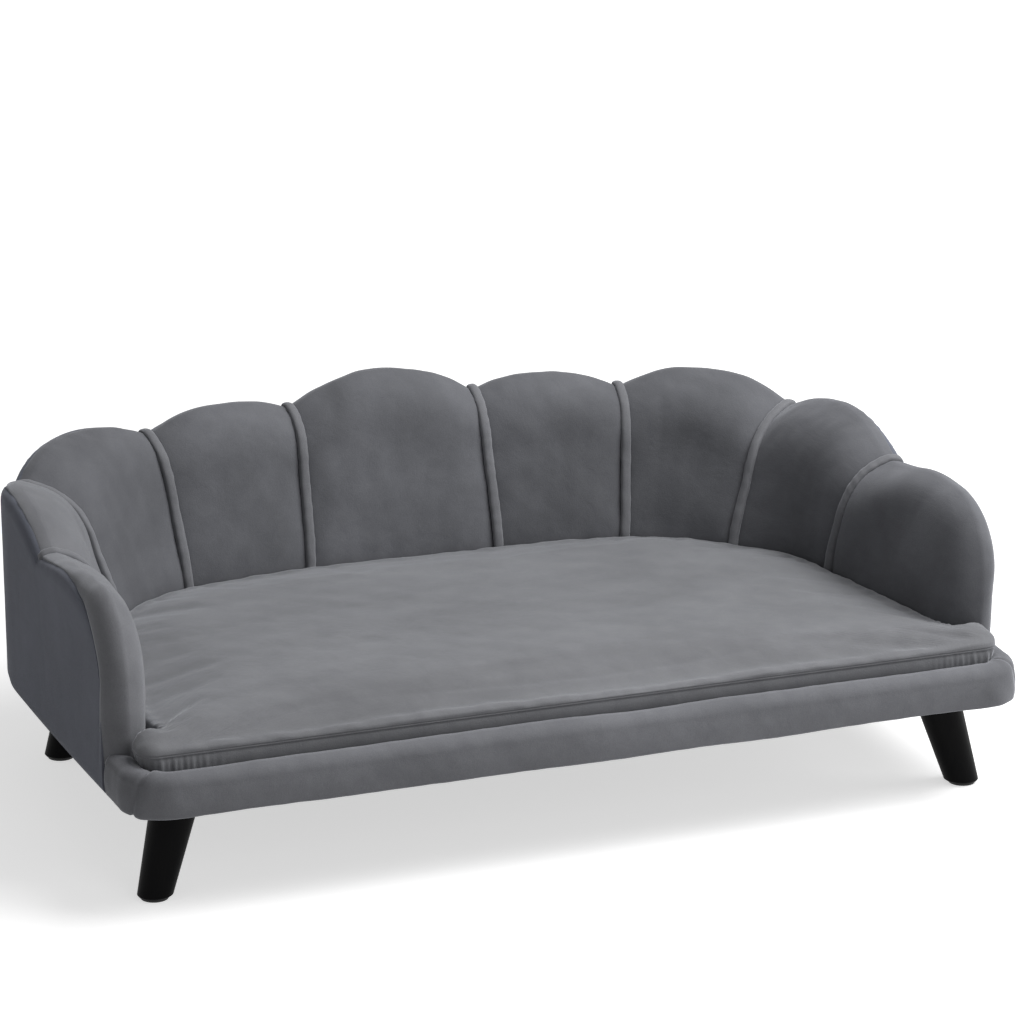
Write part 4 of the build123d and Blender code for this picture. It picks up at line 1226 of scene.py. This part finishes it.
cushion = make_cushion()
begin, move = simulated_movement(cushion, cushion_held, cushion_spare)
carry(cushion, begin, move, cushion_free)
displace(cushion, cushion_relief)
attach(cushion, "cushion")
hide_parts("cushion_cover", "cushion_foam")


# Thin cloths on the deck and under the frame
def cloth_outline(inset, near):
    """Closed outline of a cloth within the wall's plan, with rounded front corners."""
    radius = SLAB_CORNER - inset
    side, side_out = wall.locate(wall.run_to(np.linspace(near, float(wall.corner_y - FRONT), 30)))
    back_start = float(wall.run_to(wall.corner_y - FRONT))
    back, back_out = wall.locate(np.linspace(back_start, 0, 110)[1:])
    half = np.concatenate([side - side_out * inset, back - back_out * inset])
    corner_y = FRONT + near + radius
    half = half[half[:, 1] > corner_y]
    corner = arc((half[0, 0] - radius, corner_y), radius, -90, 0, 12)
    half = np.concatenate([corner, half])
    return np.concatenate([half, (half[:-1] * [-1, 1])[::-1]])


def flat_cloth(name, loop, low_z, high_z, material, ripple, seed):
    """Thin rippled cloth within an outline, with its width, length and area."""
    middle = np.array([0.0, FRONT + CLOTH_MIDDLE])
    scales = np.concatenate([[1.0, 0.985], np.linspace(0.96, 0.04, 26)])
    plan = np.array([middle + (loop - middle) * scale for scale in scales])
    idx = np.arange(plan.shape[0] * plan.shape[1]).reshape(plan.shape[:2])

    def level(z):
        grid = np.concatenate([plan, np.full((*plan.shape[:2], 1), z)], -1)
        bumps = waves(grid.reshape(-1, 3), seed, 6.0).reshape(idx.shape) * ripple
        grid[2:, :, 2] += bumps[2:]
        return grid.reshape(-1, 3)

    verts = np.concatenate([level(high_z), level(low_z)])
    quads = ring_quads(idx)
    rim, low_rim = idx[0], idx[0] + idx.size
    faces = quads.tolist() + (quads[:, ::-1] + idx.size).tolist()
    faces += [idx[-1].tolist(), (idx[-1][::-1] + idx.size).tolist()]
    faces += np.stack([rim, low_rim, np.roll(low_rim, -1), np.roll(rim, -1)], -1).tolist()
    obj = make_object(name, verts, faces, material)
    x, y = loop.T
    area = 0.5 * abs(np.sum(x * np.roll(y, -1) - y * np.roll(x, -1)))
    return obj, float(np.ptp(x)), float(np.ptp(y)), float(area)


lining_cloth, w, l, area = flat_cloth(
    "deck_lining", cloth_outline(inset=0.0058, near=0.0240),
    DECK_TOP - 0.0014, DECK_TOP - 0.0003, lining, ripple=0.0, seed=51)
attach(lining_cloth, "bed")
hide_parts("deck_cover")

under_cloth, w, l, area = flat_cloth(
    "underside_cloth", cloth_outline(inset=0.008, near=0.0080),
    SLAB_BOTTOM - 0.0002, SLAB_BOTTOM + 0.0006, nonwoven, ripple=0.0006, seed=52)
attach(under_cloth, "bed")
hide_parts("dust_cover")

# Camera at the photo's angle
FOCAL_PIXELS = 4000
IMAGE_PIXELS = 1024
SENSOR = 36
CAMERA_PLACE = (-1.4671, -3.8570, 1.5243)
CAMERA_PITCH = 0.29357
CAMERA_YAW = 0.37169


def aim(obj, direction):
    obj.rotation_mode = "QUATERNION"
    obj.rotation_quaternion = direction.to_track_quat("-Z", "Y")


def make_camera():
    data = bpy.data.cameras.new("camera")
    data.sensor_width = SENSOR
    data.lens = FOCAL_PIXELS / IMAGE_PIXELS * SENSOR
    data.clip_end = 50
    obj = link(bpy.data.objects.new("camera", data))
    obj.location = CAMERA_PLACE
    level = math.cos(CAMERA_PITCH)
    aim(obj, Vector((math.sin(CAMERA_YAW) * level, math.cos(CAMERA_YAW) * level, -math.sin(CAMERA_PITCH))))
    bpy.context.scene.camera = obj


def area_light(name, place, target, size, power):
    data = bpy.data.lights.new(name, "AREA")
    data.shape = "RECTANGLE"
    data.size, data.size_y = size
    data.energy = power
    obj = link(bpy.data.objects.new(name, data))
    obj.location = place
    aim(obj, Vector(target) - Vector(place))


make_camera()
area_light("top_light", (1.15, -0.60, 2.2), (0, 0, 0.1), (1.9, 1.6), 72)
area_light("front_light", (0.2, -2.2, 1.0), (0.1, -0.2, 0.15), (1.4, 1.0), 5)
area_light("side_light", (2.4, -0.7, 0.9), (-0.3, -0.2, 0.2), (1.2, 1.0), 9)


# Floor and background
FLOOR_REACH = 6.0
FLOOR_GREY = (0.70, 0.70, 0.70, 1)
WHITE = (1, 1, 1, 1)
SKY_LIGHT = 0.20


def math_node(tree, operation, first, second):
    node = tree.nodes.new("ShaderNodeMath")
    node.operation = operation
    return fill(tree, node, {0: first, 1: second}).outputs[0]


def seeing_rays(tree):
    """1 for rays that see a surface straight, in gloss or through glass, 0 for the others."""
    rays = add_node(tree, "LightPath", {}).outputs
    seen = math_node(tree, "MAXIMUM", rays["Is Camera Ray"], rays["Is Glossy Ray"])
    return math_node(tree, "MAXIMUM", seen, rays["Is Transmission Ray"])


def floor_glow(tree):
    """Strength of the floor's painted white glow, full well away from the object and weaker near it."""
    distance = tree.nodes.new("ShaderNodeVectorMath")
    distance.operation = "LENGTH"
    fill(tree, distance, {0: add_node(tree, "NewGeometry", {}).outputs["Position"]})
    node = tree.nodes.new("ShaderNodeMapRange")
    node.interpolation_type = "SMOOTHSTEP"
    fill(tree, node, {"Value": distance.outputs["Value"], "From Min": 0.7, "From Max": 2.6,
                      "To Min": 0.60, "To Max": 1.0})
    return math_node(tree, "MULTIPLY", seeing_rays(tree), node.outputs["Result"])


def floor_material():
    """Pale floor that keeps the shadow, under a painted white glow that is weaker near the object and turns
    it white towards the background.
    """
    mat = bpy.data.materials.new("floor_white")
    tree = empty_tree(mat)
    diffuse = add_node(tree, "BsdfDiffuse", {"Color": FLOOR_GREY})
    glow = add_node(tree, "Emission", {"Color": WHITE, "Strength": floor_glow(tree)})
    both = add_node(tree, "AddShader", {0: diffuse.outputs["BSDF"], 1: glow.outputs["Emission"]})
    add_node(tree, "OutputMaterial", {"Surface": both.outputs["Shader"]})
    return mat


def make_world():
    """White where it is seen, and soft even light on the object."""
    world = bpy.data.worlds.new("world")
    tree = empty_tree(world)
    dim, white = (add_node(tree, "Background", {"Color": WHITE, "Strength": strength}).outputs[0]
                  for strength in (SKY_LIGHT, 1.0))
    choice = add_node(tree, "MixShader", {0: seeing_rays(tree), 1: dim, 2: white})
    add_node(tree, "OutputWorld", {"Surface": choice.outputs[0]})
    bpy.context.scene.world = world


floor_corners = [(x * FLOOR_REACH, y * FLOOR_REACH, 0) for x, y in ((-1, -1), (1, -1), (1, 1), (-1, 1))]
floor = make_object("floor", floor_corners, [(0, 1, 2, 3)], floor_material(), False)
make_world()
bpy.context.scene.view_settings.view_transform = "Standard"
